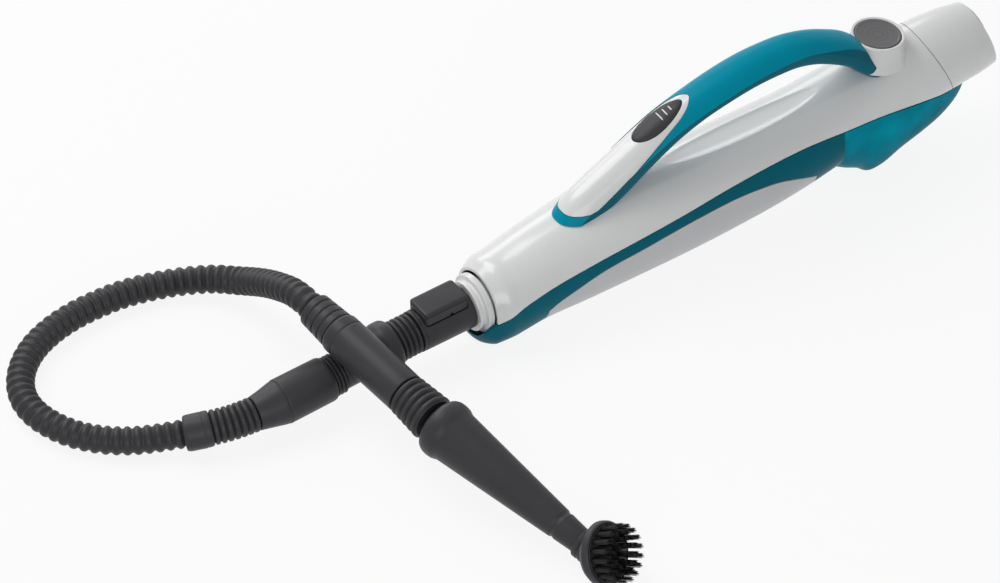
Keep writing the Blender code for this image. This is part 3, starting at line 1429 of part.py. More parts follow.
def latch_button():
    """Raised latch block with the tongue whose tooth holds in the nose ring's groove."""
    low = LATCH_BLOCK_SEAT + LATCH_TRAVEL + GAP
    piece = add_object("latch_button", latch_box("latch_button", 0, low, LATCH_BLOCK_TOP), DARK, 0.5)
    bevel = piece.modifiers.new("rounded", "BEVEL")
    bevel.width = WALL * 0.7
    bevel.segments = 2
    bevel.limit_method = "ANGLE"
    tongue_low = LATCH_BLOCK_SEAT + GAP
    tongue_top = tongue_low + LATCH_TONGUE_THICKNESS
    join(piece, tongue_box("tongue", 0, tongue_low, tongue_top))
    leg = LATCH_BLOCK_SETBACK + GAP + WALL / 2
    foot = Matrix.Translation((0, (tongue_low + low + WALL) / 2, leg))
    size = (LATCH_TONGUE_WIDTH, low + WALL - tongue_low, WALL)
    join(piece, block("tongue_leg", size, connector_seat() @ foot))
    tooth_top = PLUG_RADIUS + GAP + LATCH_GROOVE_DEPTH * 0.75
    groove_middle = LATCH_GROOVE_WIDTH * 0.7 - PLUG_LENGTH - GAP
    place = Matrix.Translation((0, (tongue_low + tooth_top) / 2, groove_middle))
    size = (LATCH_TONGUE_WIDTH, tooth_top - tongue_low, WALL)
    join(piece, block("tooth", size, connector_seat() @ place))
    set_origin(piece, connector_seat() @ Vector((0, low, LATCH_BLOCK_SETBACK + LATCH_BLOCK_LENGTH / 2)))
    return piece


def line_point(share):
    x = -NOSE_OVERHANG - share * LINE_LENGTH
    return Vector((x, read_shares(LINE_SHARES, share, 2) * LINE_LENGTH,
                   read_shares(LINE_SHARES, share, 1) * NOSE_AXIS_HEIGHT))


def line_piece(name, outline, color=DARK, sides=ROUND_SIDES):
    """Bored piece that follows the line, from (share of the line, radius) pairs."""
    step = 0.004
    rings, bores = [], []
    for index, (share, radius) in enumerate(outline):
        direction = line_point(share + step) - line_point(share - step)
        seat = frame_at(line_point(share), direction)
        rings.append(circle(seat, 0, radius, sides))
        if index % 4 == 0 or index == len(outline) - 1:
            bores.append(circle(seat, 0, LINE_BORE, sides))
    return add_object(name, tube_mesh(name, rings, bores), color, 0.55)


def ribbed(start, end, count, radius, depth):
    """Outline of evenly spaced round ribs between two places."""
    outline = []
    pitch = (end - start) / count
    for index in range(count):
        place = start + index * pitch
        outline += [(place, radius - depth), (place + pitch * 0.5, radius)]
    outline.append((end, radius - depth))
    return outline


def line_pieces():
    """The rigid and bellows pieces between the connector and the hose."""
    gap = GAP / LINE_LENGTH
    wide = CONNECTOR_RADIUS
    start = CONNECTOR_LENGTH / LINE_LENGTH + 2.5 * gap
    line_piece("front_bellows", ribbed(start, 0.272, 3, wide, RIB_DEPTH))
    line_piece("centre_tube", [
        (0.272 + gap, wide * 1.05), (0.282, wide * 1.22), (0.318, wide * 1.24), (0.345, wide * 1.08),
        (0.380, wide * 0.92), (0.440, wide * 0.875), (0.478, wide * 0.875),
    ])
    line_piece("rear_bellows", ribbed(0.478 + gap, 0.520, 2, wide, RIB_DEPTH))
    line_piece("line_sleeve", [
        (0.520 + gap, wide * 0.98), (0.530, wide * 1.06), (0.690, wide * 1.08), (0.698, wide * 1.02),
        (0.710, wide * 1.02), (0.750, wide * 0.90), (0.788, wide * 0.80),
    ])
    line_piece("strain_relief", ribbed(0.788 + gap, 0.925, 6, wide * 0.82, RIB_DEPTH * 0.9))
    line_piece("hose_cuff", [
        (0.925 + gap, wide * 0.80), (0.935, wide * 0.84), (0.985, wide * 0.84), (1.0, wide * 0.80),
    ])


def tube_curve(name, path, radius, factors):
    """Mesh of a filled curve along a path, with a share of the radius at each point."""
    curve = bpy.data.curves.new(name, "CURVE")
    curve.dimensions = "3D"
    curve.bevel_depth = radius
    curve.bevel_resolution = 2
    curve.use_fill_caps = True
    spline = curve.splines.new("POLY")
    spline.points.add(len(path) - 1)
    for point, place, factor in zip(spline.points, path, factors):
        point.co = (*place, 1.0)
        point.radius = factor
    guide = bpy.data.objects.new(name + "_guide", curve)
    bpy.context.collection.objects.link(guide)
    mesh = bpy.data.meshes.new_from_object(guide.evaluated_get(bpy.context.evaluated_depsgraph_get()))
    bpy.data.objects.remove(guide, do_unlink=True)
    work = bmesh.new()
    work.from_mesh(mesh)
    return finish_mesh(name, work)


def hose_route():
    """The hose's route, with straight ends that meet the cuff and the ferrule squarely."""
    leave = (line_point(1.0) - line_point(0.992)).normalized()
    arrive = handpiece_direction()
    first, last = line_point(1.0) + leave * GAP, Vector(HOSE_ROUTE[-1]) - arrive * GAP
    return [first, first + leave * HOSE_RADIUS] + HOSE_ROUTE[1:-1] + [last - arrive * HOSE_RADIUS, last]


def hose():
    """Ribbed hose from the cuff to the ferrule: two rings to a rib, and a smooth bore."""
    path = smooth_path(hose_route(), 2 * HOSE_RIB_COUNT + 2)
    valley = 1.0 - RIB_DEPTH / HOSE_RADIUS
    factors = [1.0 if index % 2 else valley for index in range(len(path))]
    piece = add_object("hose", tube_curve("hose", path, HOSE_RADIUS, factors), DARK, 0.55)
    start = path[0] + (path[0] - path[1]).normalized() * CUT_OVERRUN
    end = path[-1] + (path[-1] - path[-2]).normalized() * CUT_OVERRUN
    inside = [start] + path[2:-2:3] + [end]
    cut(piece, tube_curve("hose_bore", inside, HOSE_BORE, [1.0] * len(inside)))
    run = sum((second - first).length for first, second in zip(path, path[1:]))
    print("hose length", round(run, 4))
    return piece


def turned_direction(turn, drop):
    return Vector((math.sin(turn) * math.cos(drop), -math.cos(turn) * math.cos(drop), -math.sin(drop)))


def handpiece_direction():
    return turned_direction(HANDPIECE_TURN, HANDPIECE_DROP)


def nozzle_direction():
    return turned_direction(NOZZLE_TURN, NOZZLE_DROP)


def handpiece_start():
    return Vector(HOSE_ROUTE[-1]) + handpiece_direction() * GAP


def nozzle_start():
    return handpiece_start() + handpiece_direction() * HANDPIECE_LENGTH


def nozzle_tip():
    return nozzle_start() + nozzle_direction() * NOZZLE_LENGTH


def bored_piece(name, outline, origin, direction, bore, color=DARK):
    """Turned piece with a through bore, from (distance, radius) pairs along a direction."""
    profile = [(outline[0][0], bore)] + outline + [(outline[-1][0], bore)]
    mesh = turned(name, profile, frame_at(origin, direction), bored=True)
    return add_object(name, mesh, color, 0.5)


def handpiece():
    """Ferrule, smooth grip tube and bellows that lead to the nozzle."""
    start, direction = handpiece_start(), handpiece_direction()
    ring = FERRULE_LENGTH / 4
    outline = []
    for index in range(4):
        place = index * ring
        radius = FERRULE_RADIUS + index * RIB_DEPTH / 4
        outline += [(place, radius - RIB_DEPTH / 2), (place + ring * 0.2, radius)]
        outline.append((place + ring * 0.9, radius))
    bored_piece("hose_ferrule", outline + [(FERRULE_LENGTH, FERRULE_RADIUS)], start, direction, LINE_BORE)
    radius = HANDPIECE_RADIUS
    first = FERRULE_LENGTH + GAP
    last = HANDPIECE_LENGTH - HANDPIECE_BELLOWS
    outline = [(first, radius * 0.9), (first + RIB_DEPTH * 2, radius), (last, radius * 0.98)]
    bored_piece("handpiece_tube", outline, start, direction, LINE_BORE)
    outline = ribbed(last + GAP, HANDPIECE_LENGTH - 2 * RIB_DEPTH, 5, radius, RIB_DEPTH)
    swell = radius * 0.14 / (outline[-1][0] - outline[0][0])
    outline = [(place, size + (place - outline[0][0]) * swell) for place, size in outline]
    bored_piece("nozzle_bellows", outline, start, direction, LINE_BORE)


def nozzle():
    """Long cone behind a rounded collar, ending in the spigot that carries the brush."""
    collar, tip = NOZZLE_COLLAR_RADIUS, NOZZLE_TIP_RADIUS
    shoulder = collar * 0.95
    outline = [
        (0, collar * 0.80), (collar * 0.10, collar * 0.95), (collar * 0.28, collar),
        (collar * 0.60, collar), (collar * 0.72, shoulder * 0.97), (NOZZLE_LENGTH * 0.86, tip * 1.16),
        (NOZZLE_LENGTH * 0.865, tip * 1.08), (NOZZLE_LENGTH, tip), (NOZZLE_LENGTH, NOZZLE_SPIGOT_RADIUS),
        (NOZZLE_LENGTH + NOZZLE_SPIGOT_LENGTH, NOZZLE_SPIGOT_RADIUS),
    ]
    return bored_piece("cone_nozzle", outline, nozzle_start(), nozzle_direction(), NOZZLE_BORE)


def brush_seat():
    """Seat at the middle of the brush's rim, which rests on the ground."""
    axis = Vector(BRUSH_AXIS).normalized()
    reach = NOZZLE_SPIGOT_LENGTH * 0.75
    centre = nozzle_tip() + nozzle_direction() * reach + axis * (BRUSH_BELL_DEPTH * 0.87)
    centre.z = BRUSH_RIM_DEPTH * axis.z + BRUSH_RADIUS * math.sqrt(1 - axis.z ** 2)
    return frame_at(centre, axis)


def brush_head():
    """Bell with a rim round the bristles, and the sleeve that turns on the nozzle's spigot."""
    seat = brush_seat()
    rim = BRUSH_RADIUS
    profile = [
        (-BRUSH_BELL_DEPTH, rim * 0.45), (-BRUSH_BELL_DEPTH * 0.86, rim * 0.66),
        (-BRUSH_BELL_DEPTH * 0.62, rim * 0.88), (-BRUSH_RIM_DEPTH, rim), (-GAP * 2, rim), (0, rim - GAP * 2),
    ]
    piece = add_object("brush_head", turned("brush_head", profile, seat, 28), DARK, 0.5)
    sleeve = [(GAP, BRUSH_SOCKET_RADIUS), (NOZZLE_SPIGOT_LENGTH * 1.2, BRUSH_SOCKET_RADIUS)]
    join(piece, turned("brush_sleeve", sleeve, frame_at(nozzle_tip(), nozzle_direction())))
    bore = NOZZLE_SPIGOT_RADIUS + GAP
    hole = [(-CUT_OVERRUN, bore), (NOZZLE_SPIGOT_LENGTH + GAP, bore)]
    cut(piece, turned("spigot_bore", hole, frame_at(nozzle_tip(), nozzle_direction())))
    recess = BRISTLE_PAD_RADIUS + GAP
    room = [(-BRISTLE_PAD_THICKNESS - GAP, recess), (CUT_OVERRUN, recess)]
    cut(piece, turned("pad_recess", room, seat, 28))
    set_origin(piece, nozzle_tip())
    return piece


def bristles():
    """Rings of tufts that lean outwards a little, standing on a slice of their backing."""
    seat = brush_seat()
    pad = [(-BRISTLE_PAD_THICKNESS, BRISTLE_PAD_RADIUS), (0, BRISTLE_PAD_RADIUS)]
    piece = add_object("bristles", turned("bristles", pad, seat, 28), BLACK, 0.6)
    work = bmesh.new()
    step = (BRISTLE_PAD_RADIUS - 3 * BRISTLE_RADIUS) / len(BRISTLE_RING_COUNTS)
    total = 0
    for ring, count in enumerate(BRISTLE_RING_COUNTS):
        distance = step * (ring + 1)
        for index in range(count):
            turn = 2 * math.pi * (index + 0.5 * (ring % 2)) / count
            out = Vector((math.cos(turn), math.sin(turn), 0))
            levels = ((-BRISTLE_PAD_THICKNESS / 2, distance, BRISTLE_RADIUS),
                      (BRISTLE_LENGTH, distance * (1 + BRISTLE_SPLAY), BRISTLE_RADIUS * 0.8))
            rows = []
            for height, away, radius in levels:
                corners = [turn + 2 * math.pi * side / BRISTLE_SIDES for side in range(BRISTLE_SIDES)]
                rows.append([work.verts.new(seat @ (out * away + Vector((radius * math.cos(corner),
                             radius * math.sin(corner), height)))) for corner in corners])
            for side in range(BRISTLE_SIDES):
                other = (side + 1) % BRISTLE_SIDES
                work.faces.new((rows[0][side], rows[0][other], rows[1][other], rows[1][side]))
            work.faces.new(rows[0])
            work.faces.new(rows[1])
            total += 1
    join(piece, finish_mesh("bristle_strands", work))
    print("bristle strands", total)
    return piece


def build():
    for old in list(bpy.data.objects):
        bpy.data.objects.remove(old, do_unlink=True)
    upper_housing()
    lower_housing()
    side_trim()
    nose_ring()
    rear_cap()
    pole_socket()
    cord_gland()
    bay_plate()
    tank_coupling()
    handle_grip()
    handle_cover()
    steam_switch()
    boiler()
    thermostat()
    thermal_fuse()
    water_pump()
    pump_mount("pump_mount_front", -1)
    pump_mount("pump_mount_rear", 1)
    control_board()
    steam_pipe()
    pressure_tube()
    water_tube()
    lever_pin()
    coil_spring("button_spring", button_seat(), -COLLAR_FLOOR_DEPTH, -BUTTON_THICKNESS,
                BUTTON_STEM_RADIUS * 2, BUTTON_CROWN * 0.7, 3)
    water_tank()
    tank_valve()
    tank_cap()
    release_button()
    release_lever()
    steam_button()
    hose_connector()
    latch_button()
    line_pieces()
    hose()
    handpiece()
    nozzle()
    brush_head()
    bristles()
    pieces = bpy.data.objects
    attach(pieces["tank_valve"], pieces["water_tank"])
    attach(pieces["tank_cap"], pieces["water_tank"])
    attach(pieces["bristles"], pieces["brush_head"])
    whole = pieces.new("steam_cleaner", None)
    bpy.context.collection.objects.link(whole)
    for piece in pieces:
        if piece.parent is None and piece is not whole and not piece.hide_render:
            attach(piece, whole)


build()
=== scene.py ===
# %% [markdown]
# # Dressing a handheld steam cleaner
#
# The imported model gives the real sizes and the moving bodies. This script dresses it: it
# lays finer surfaces over the moulded shells, gives the hose set its ribs, the brush its
# tufts, and every piece a finish. Everything is in metres, with +X from the nose to the
# rear, and the ground at zero.

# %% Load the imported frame
import math
from functools import lru_cache

import bmesh
import bpy
import numpy as np
from mathutils import Matrix, Vector


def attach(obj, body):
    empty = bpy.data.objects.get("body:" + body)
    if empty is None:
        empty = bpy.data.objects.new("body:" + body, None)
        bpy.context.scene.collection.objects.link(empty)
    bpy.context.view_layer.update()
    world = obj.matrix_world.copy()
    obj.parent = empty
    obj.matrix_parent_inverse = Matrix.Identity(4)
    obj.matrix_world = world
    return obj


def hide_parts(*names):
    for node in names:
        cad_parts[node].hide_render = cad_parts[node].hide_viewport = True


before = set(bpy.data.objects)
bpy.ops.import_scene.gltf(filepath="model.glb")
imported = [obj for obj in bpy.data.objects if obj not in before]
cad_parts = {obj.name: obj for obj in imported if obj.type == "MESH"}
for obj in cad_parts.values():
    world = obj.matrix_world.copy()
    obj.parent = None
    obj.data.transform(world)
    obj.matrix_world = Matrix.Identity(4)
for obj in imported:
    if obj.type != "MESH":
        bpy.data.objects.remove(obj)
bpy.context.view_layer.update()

# %% [markdown]
# ## The camera
#
# The photograph was taken from the nozzle's side, 34 degrees round and 43 degrees up, from
# far enough away that parallel edges stay nearly parallel. A long lens at the matching
# distance gives the same picture. The rotation is built from the three directions of the
# view, because that states them plainly: right, up and back towards the camera.

# %% Place the camera
MM = 0.001
PIXELS = (1000, 583)
PIXEL_SIZE = 0.70 * MM
VIEW_TURN = math.radians(-34.0)
VIEW_RISE = math.radians(43.0)
VIEW_MIDDLE = Vector((0.0174, 0.0101, 0.0194))
LENS = 800.0
SENSOR = 36.0

right = Vector((math.cos(VIEW_TURN), math.sin(VIEW_TURN), 0))
back = Vector((math.sin(VIEW_TURN) * math.cos(VIEW_RISE), -math.cos(VIEW_TURN) * math.cos(VIEW_RISE),
               math.sin(VIEW_RISE)))
above = back.cross(right)
distance = PIXELS[0] * PIXEL_SIZE * LENS / SENSOR
camera_data = bpy.data.cameras.new("view")
camera_data.lens = LENS
camera_data.sensor_width = SENSOR
camera_data.clip_end = 3 * distance
camera = bpy.data.objects.new("view", camera_data)
bpy.context.collection.objects.link(camera)
camera.matrix_world = Matrix.Translation(VIEW_MIDDLE + back * distance) @ Matrix(
    (right, above, back)).transposed().to_4x4()
bpy.context.scene.camera = camera
print("camera distance", round(distance, 3), "m")

# %% [markdown]
# ## Small tools for meshes
#
# Most of the object is moulded plastic: a section that changes along a path. A loft puts
# rings of points side by side and joins them. A turned piece is the same with circles for
# rings. Real mouldings have no sharp edges, so every turned outline first gets a small
# fillet at each corner, which is what catches the light.

# %% Mesh tools
def finish(name, work, angle=32.0):
    """Object from a bmesh: doubles merged, faces outwards, smooth but for its sharp edges."""
    bmesh.ops.remove_doubles(work, verts=work.verts, dist=1e-6)
    bmesh.ops.recalc_face_normals(work, faces=work.faces)
    for face in work.faces:
        face.smooth = True
    limit = math.radians(angle)
    for edge in work.edges:
        edge.smooth = len(edge.link_faces) == 2 and edge.calc_face_angle(0.0) < limit
    mesh = bpy.data.meshes.new(name)
    work.to_mesh(mesh)
    work.free()
    made = bpy.data.objects.new(name, mesh)
    bpy.context.collection.objects.link(made)
    return made


def add_skin(work, rings, closed=False, marked=()):
    """Skin through rings of points, its marked columns in material 1. Ends closed, or ring to ring."""
    rows = [[work.verts.new(point) for point in ring] for ring in rings]
    count = len(rows[0])
    pairs = list(zip(rows[:-1], rows[1:])) + ([(rows[-1], rows[0])] if closed else [])
    for first, second in pairs:
        for index in range(count):
            other = (index + 1) % count
            corners = (first[index], first[other], second[other], second[index])
            if len({tuple(corner.co) for corner in corners}) > 2:
                work.faces.new(corners).material_index = int(index in marked)
    if not closed:
        for ring in (rows[0], rows[-1]):
            if len({tuple(vert.co) for vert in ring}) > 2:
                work.faces.new(ring)


def loft(name, rings, closed=False, angle=32.0, marked=()):
    """Piece of one skin."""
    work = bmesh.new()
    add_skin(work, rings, closed, marked)
    return finish(name, work, angle)


def seat_at(origin, axis, up=(0, 0, 1)):
    """Matrix whose local Z runs along the axis and whose local Y leans towards up."""
    along = Vector(axis).normalized()
    side = Vector(up).cross(along)
    if side.length < 1e-4:
        side = Vector((1, 0, 0))
    side.normalize()
    upright = along.cross(side)
    return Matrix.Translation(Vector(origin)) @ Matrix((side, upright, along)).transposed().to_4x4()


def circle(seat, height, radius, sides):
    turns = [2 * math.pi * index / sides for index in range(sides)]
    return [seat @ Vector((radius * math.cos(turn), radius * math.sin(turn), height)) for turn in turns]


print("points of a small circle:", len(circle(Matrix(), 0, 1, 12)))

# %% [markdown]
# A fillet replaces each corner of an outline by a short curve. It is done on the flat
# outline, before the turning, because five points there cost far less than a bevel round a
# whole ring.

# %% Rounded outlines and turned pieces
def fillet(outline, size, steps=4, closed=False):
    """The outline with each corner rounded, at most as far as half its shorter side."""
    points = [Vector(point) for point in outline]
    rounded = [] if closed else [points[0]]
    span = range(len(points)) if closed else range(1, len(points) - 1)
    for index in span:
        here, before, after = points[index], points[index - 1], points[(index + 1) % len(points)]
        back_side, fore_side = before - here, after - here
        reach = min(size, back_side.length * 0.48, fore_side.length * 0.48)
        if reach < 1e-6 or abs(back_side.angle(fore_side, math.pi) - math.pi) < 0.05:
            rounded.append(here)
            continue
        start, end = here + back_side.normalized() * reach, here + fore_side.normalized() * reach
        for step in range(steps + 1):
            part = step / steps
            rounded.append(start * (1 - part) ** 2 + here * 2 * part * (1 - part) + end * part ** 2)
    return rounded if closed else rounded + [points[-1]]


def turned(name, outline, seat, size=0.0006, sides=96, closed=False):
    """Turned piece from (height, radius) pairs, with its corners rounded."""
    rings = [circle(seat, height, max(radius, 0.0), sides)
             for height, radius in fillet(outline, size, closed=closed)]
    return loft(name, rings, closed)


print("points of a filleted square:", len(fillet([(0, 0), (0, 1), (1, 1), (1, 0)], 0.1, closed=True)))

# %% [markdown]
# ## The body's own shape
#
# The body is one long form that the white, grey and teal shells share; the belly's grey and
# the darker teal are painted shade. It is written as tables: at each station along the
# length, how high the axis is, how large the section, and how far the section leans towards
# the seam. The teal edge lines are tables too. A smooth curve through each table gives any
# station in between, so the surfaces here can be ten times finer than the solids and still
# lie on them. The same stations are read many thousand times, so each answer is kept by
# lru_cache.

# %% Tables of the body
GAP = 0.0003
WALL = 0.0025
BODY_LENGTH = 0.433
NOSE_OVERHANG = 0.018
BODY_RADIUS = 0.038
NOSE_AXIS_HEIGHT = 0.0314
AXIS_RISE = 0.0384
SEAM_LEAN = 0.40
EDGE_HEIGHT = 0.0667
CHIN_RADIUS = 0.0338
SCOOP_DEPTH = 0.0035
SCOOP_LENGTH = 0.132
SCOOP_WIDTH = 0.020
TRIM_START_SHARE = 0.0023
SHELL_START_SHARE = 0.0237
WINDOW_START_SHARE = 0.113
WINDOW_END_SHARE = 0.637
TANK_START_SHARE = 0.6905
SEAM_SHARE = 0.902
TANK_END_SHARE = 0.934
SCOOP_MIDDLE_SHARE = 0.536
BODY_SHARES = [
    (0.000, 0.000, 0.560, 0.00), (0.023, 0.000, 0.666, 0.00), (0.042, 0.000, 0.797, 0.00),
    (0.065, 0.008, 0.832, 0.00), (0.127, 0.122, 0.888, 0.00), (0.187, 0.198, 0.948, 0.00),
    (0.240, 0.262, 0.990, 0.00), (0.480, 0.354, 0.990, 0.00), (0.575, 0.409, 0.953, 0.00),
    (0.651, 0.495, 0.905, 0.00), (0.700, 0.590, 0.876, 0.00), (0.735, 0.665, 0.853, 0.10),
    (0.806, 0.823, 0.816, 0.45), (0.860, 0.920, 0.785, 0.85), (0.902, 0.972, 0.758, 1.00),
    (0.975, 1.000, 0.700, 0.68), (1.000, 1.000, 0.655, 0.53),
]
UPPER_EDGE_SHARES = [
    (0.000, 0.290), (0.023, 0.405), (0.042, 0.495), (0.065, 0.570), (0.092, 0.630), (0.206, 0.795),
    (0.404, 0.930), (0.524, 0.984), (0.603, 1.000), (0.679, 0.990), (0.799, 0.945), (0.860, 0.862),
    (0.921, 0.735), (0.954, 0.668), (1.000, 0.575),
]
LOWER_EDGE_SHARES = [
    (0.100, 0.330), (0.113, 0.390), (0.129, 0.465), (0.148, 0.525), (0.203, 0.660), (0.300, 0.765),
    (0.400, 0.825), (0.517, 0.825), (0.560, 0.785), (0.596, 0.705), (0.637, 0.585), (0.700, 0.480),
]

print("rows in the body's tables:", len(BODY_SHARES), len(UPPER_EDGE_SHARES), len(LOWER_EDGE_SHARES))

# %% [markdown]
# Between the rows a curve runs through the values with matching slopes. Straight lines
# would leave a flat band and a ridge at every row, and a glossy shell shows each of them.

# %% Read the tables
def smooth(place, stations, values):
    """Value at a place on the smooth curve through the stations."""
    slopes = np.gradient(values, stations)
    index = int(np.clip(np.searchsorted(stations, place) - 1, 0, len(stations) - 2))
    step = stations[index + 1] - stations[index]
    part = (place - stations[index]) / step
    start = (1 + 2 * part) * (1 - part) ** 2 * values[index]
    end = part ** 2 * (3 - 2 * part) * values[index + 1]
    start_slope = part * (1 - part) ** 2 * step * slopes[index]
    end_slope = part ** 2 * (part - 1) * step * slopes[index + 1]
    return float(start + end + start_slope + end_slope)


def read_shares(table, share, column):
    """Value of a column of a table of shares, read smoothly along its first column."""
    stations = np.array([row[0] for row in table])
    values = np.array([row[column] for row in table])
    return smooth(share, stations, values)


def body_x(share):
    return share * BODY_LENGTH - NOSE_OVERHANG


def body_share(x):
    return (x + NOSE_OVERHANG) / BODY_LENGTH


@lru_cache(maxsize=None)
def axis_height(share):
    return NOSE_AXIS_HEIGHT + AXIS_RISE * read_shares(BODY_SHARES, share, 1)


@lru_cache(maxsize=None)
def body_radius(share):
    return BODY_RADIUS * read_shares(BODY_SHARES, share, 2)


@lru_cache(maxsize=None)
def section_lean(share):
    return SEAM_LEAN * read_shares(BODY_SHARES, share, 3)


def edge_height(share, table):
    return EDGE_HEIGHT * read_shares(table, share, 1)


print("mid-length axis at", round(1000 * axis_height(0.5), 1), "mm")

# %% Points on the body
def body_point(share, angle, radius):
    """Point of the body's section at a share of its length, at an angle above the +Y side."""
    rise = radius * math.sin(angle)
    x = body_x(share) - section_lean(share) * rise
    return Vector((x, radius * math.cos(angle), axis_height(share) + rise))


def edge_angle(share, table):
    """Angle on the body's section where an edge line of the table crosses it."""
    radius = body_radius(share)
    angle = 0.0
    for _ in range(6):
        x = body_point(share, angle, radius).x
        height = edge_height(body_share(x), table) - axis_height(share)
        angle = math.asin(max(-0.98, min(0.98, height / radius)))
    return angle


print("body's radius halfway:", round(1000 * body_radius(0.5), 1), "mm")

# %% [markdown]
# ## Finishes
#
# A moulded surface is never one flat colour: the tool's grain breaks up the gloss and the
# plastic is a little uneven in tone. Both come from noise on Object coordinates, and since
# nearly every material here wants them, they are one node group with its own grain size
# and tone size. Each material then sets its own colour, gloss and depth.

# %% A node group for moulded grain
def put(tree, kind, values=None, **settings):
    """Node of a kind, with its settings, and a value, a socket or a node for each named input."""
    made = tree.nodes.new(kind)
    for key, setting in settings.items():
        setattr(made, key, setting)
    for key, value in (values or {}).items():
        if isinstance(value, bpy.types.Node):
            value = value.outputs[0]
        if isinstance(value, bpy.types.NodeSocket):
            tree.links.new(value, made.inputs[key])
        else:
            made.inputs[key].default_value = value
    return made


def figure(tree, operation, *values):
    """Math node for one sum of up to three values, sockets or nodes."""
    return put(tree, "ShaderNodeMath", dict(enumerate(values)), operation=operation)


def new_tree(name, kind, inputs, outputs):
    """Node group from (label, socket type) pairs. Returns it with its inputs' identifiers by label."""
    made = bpy.data.node_groups.new(name, kind + "NodeTree")
    known = {}
    for side, pairs in (("INPUT", inputs), ("OUTPUT", outputs)):
        for label, socket_type in pairs:
            socket = made.interface.new_socket(name=label, in_out=side, socket_type="NodeSocket" + socket_type)
            known[label] = known.get(label, socket.identifier)
    return made, known


grain, _ = new_tree("moulded_grain", "Shader", [("Grain Size", "Float"), ("Tone Size", "Float")],
                    [("Height", "Float"), ("Tone", "Float")])
given = put(grain, "NodeGroupInput").outputs
place = put(grain, "ShaderNodeTexCoord").outputs["Object"]
noises = []
for label, detail in (("Grain Size", 2.0), ("Tone Size", 3.0)):
    scale = figure(grain, "DIVIDE", 1.0, given[label])
    noises.append(put(grain, "ShaderNodeTexNoise", {"Vector": place, "Scale": scale, "Detail": detail}))
put(grain, "NodeGroupOutput", {"Height": noises[0], "Tone": noises[1]})
print("group:", grain.name, len(grain.nodes), "nodes")

# %% [markdown]
# One function now makes a whole finish: its colour, its gloss and a very fine bump. Each
# finish is one call of it, so the differences between rubber, plastic and metal are a few
# numbers that can be read side by side.

# %% Plastics and rubbers from that group
def finish_of(name, color, roughness, metallic=0.0, grain_size=0.0006, tone_size=0.03, depth=0.00002,
              uneven=0.06, spread=0.06, coat=0.0, shine=0.5):
    """Material with a moulded grain and an uneven tone."""
    made = bpy.data.materials.new(name)
    made.use_nodes = True
    tree = made.node_tree
    shader = tree.nodes["Principled BSDF"]
    source = put(tree, "ShaderNodeGroup", {"Grain Size": grain_size, "Tone Size": tone_size}, node_tree=grain)
    low = [channel * (1 - uneven) for channel in color]
    high = [min(1.0, channel * (1 + uneven)) for channel in color]
    tint = put(tree, "ShaderNodeMix", {"Factor": source.outputs["Tone"], "A": (*low, 1), "B": (*high, 1)},
               data_type="RGBA")
    gloss = put(tree, "ShaderNodeMapRange", {"Value": source.outputs["Tone"], "To Min": roughness - spread,
                                             "To Max": roughness + spread})
    bump = put(tree, "ShaderNodeBump", {"Height": source.outputs["Height"], "Distance": depth})
    for label, socket in (("Base Color", tint.outputs["Result"]), ("Roughness", gloss.outputs[0]),
                          ("Normal", bump.outputs[0])):
        tree.links.new(socket, shader.inputs[label])
    for label, value in (("Metallic", metallic), ("Specular IOR Level", shine), ("Coat Weight", coat),
                         ("Coat Roughness", 0.08)):
        shader.inputs[label].default_value = value
    return made


WHITE = finish_of("white_gloss", (0.80, 0.80, 0.79), 0.24, depth=0.000008, uneven=0.02, coat=0.25)
# pale_satin is a mid grey: on the belly it is painted shade over white plastic, and the inner pieces take it as
# their own pale colour.
PALE = finish_of("pale_satin", (0.60, 0.60, 0.61), 0.34, depth=0.00001, uneven=0.03)
TEAL = finish_of("teal_satin", (0.0, 0.300, 0.425), 0.38, depth=0.00001, uneven=0.05, shine=0.06)
# This darker teal is painted shade, for the handle below its crease and for the teal strip.
SHADED_TEAL = finish_of("teal_painted_shade", (0.0, 0.128, 0.182), 0.36, depth=0.00001, uneven=0.06, shine=0.08)
DARK = finish_of("dark_plastic", (0.034, 0.033, 0.037), 0.42, depth=0.00003, uneven=0.12, spread=0.08,
                 shine=0.25)
SOFT = finish_of("dark_rubber", (0.027, 0.026, 0.029), 0.46, grain_size=0.0009, depth=0.00004, uneven=0.15,
                 spread=0.10, shine=0.30)
BLACK = finish_of("black_plastic", (0.012, 0.012, 0.013), 0.45, uneven=0.1)
NYLON = finish_of("black_nylon", (0.008, 0.008, 0.009), 0.38, tone_size=0.002, uneven=0.35, depth=0.000005)
SEAL = finish_of("seal_rubber", (0.020, 0.020, 0.022), 0.65, uneven=0.15)
SILICONE = finish_of("milky_silicone", (0.72, 0.71, 0.66), 0.30, depth=0.00001)
CAST = finish_of("cast_alloy", (0.42, 0.42, 0.43), 0.45, metallic=1.0, grain_size=0.0012, depth=0.00008)
STEEL = finish_of("bright_steel", (0.60, 0.60, 0.61), 0.22, metallic=1.0, uneven=0.05)
BRASS = finish_of("drawn_brass", (0.62, 0.42, 0.16), 0.28, metallic=1.0, uneven=0.08)
BOARD = finish_of("circuit_board", (0.02, 0.13, 0.05), 0.40, tone_size=0.004, uneven=0.35)
MARK = finish_of("white_print", (0.75, 0.75, 0.75), 0.5, uneven=0.03)
print("finishes:", len(bpy.data.materials))
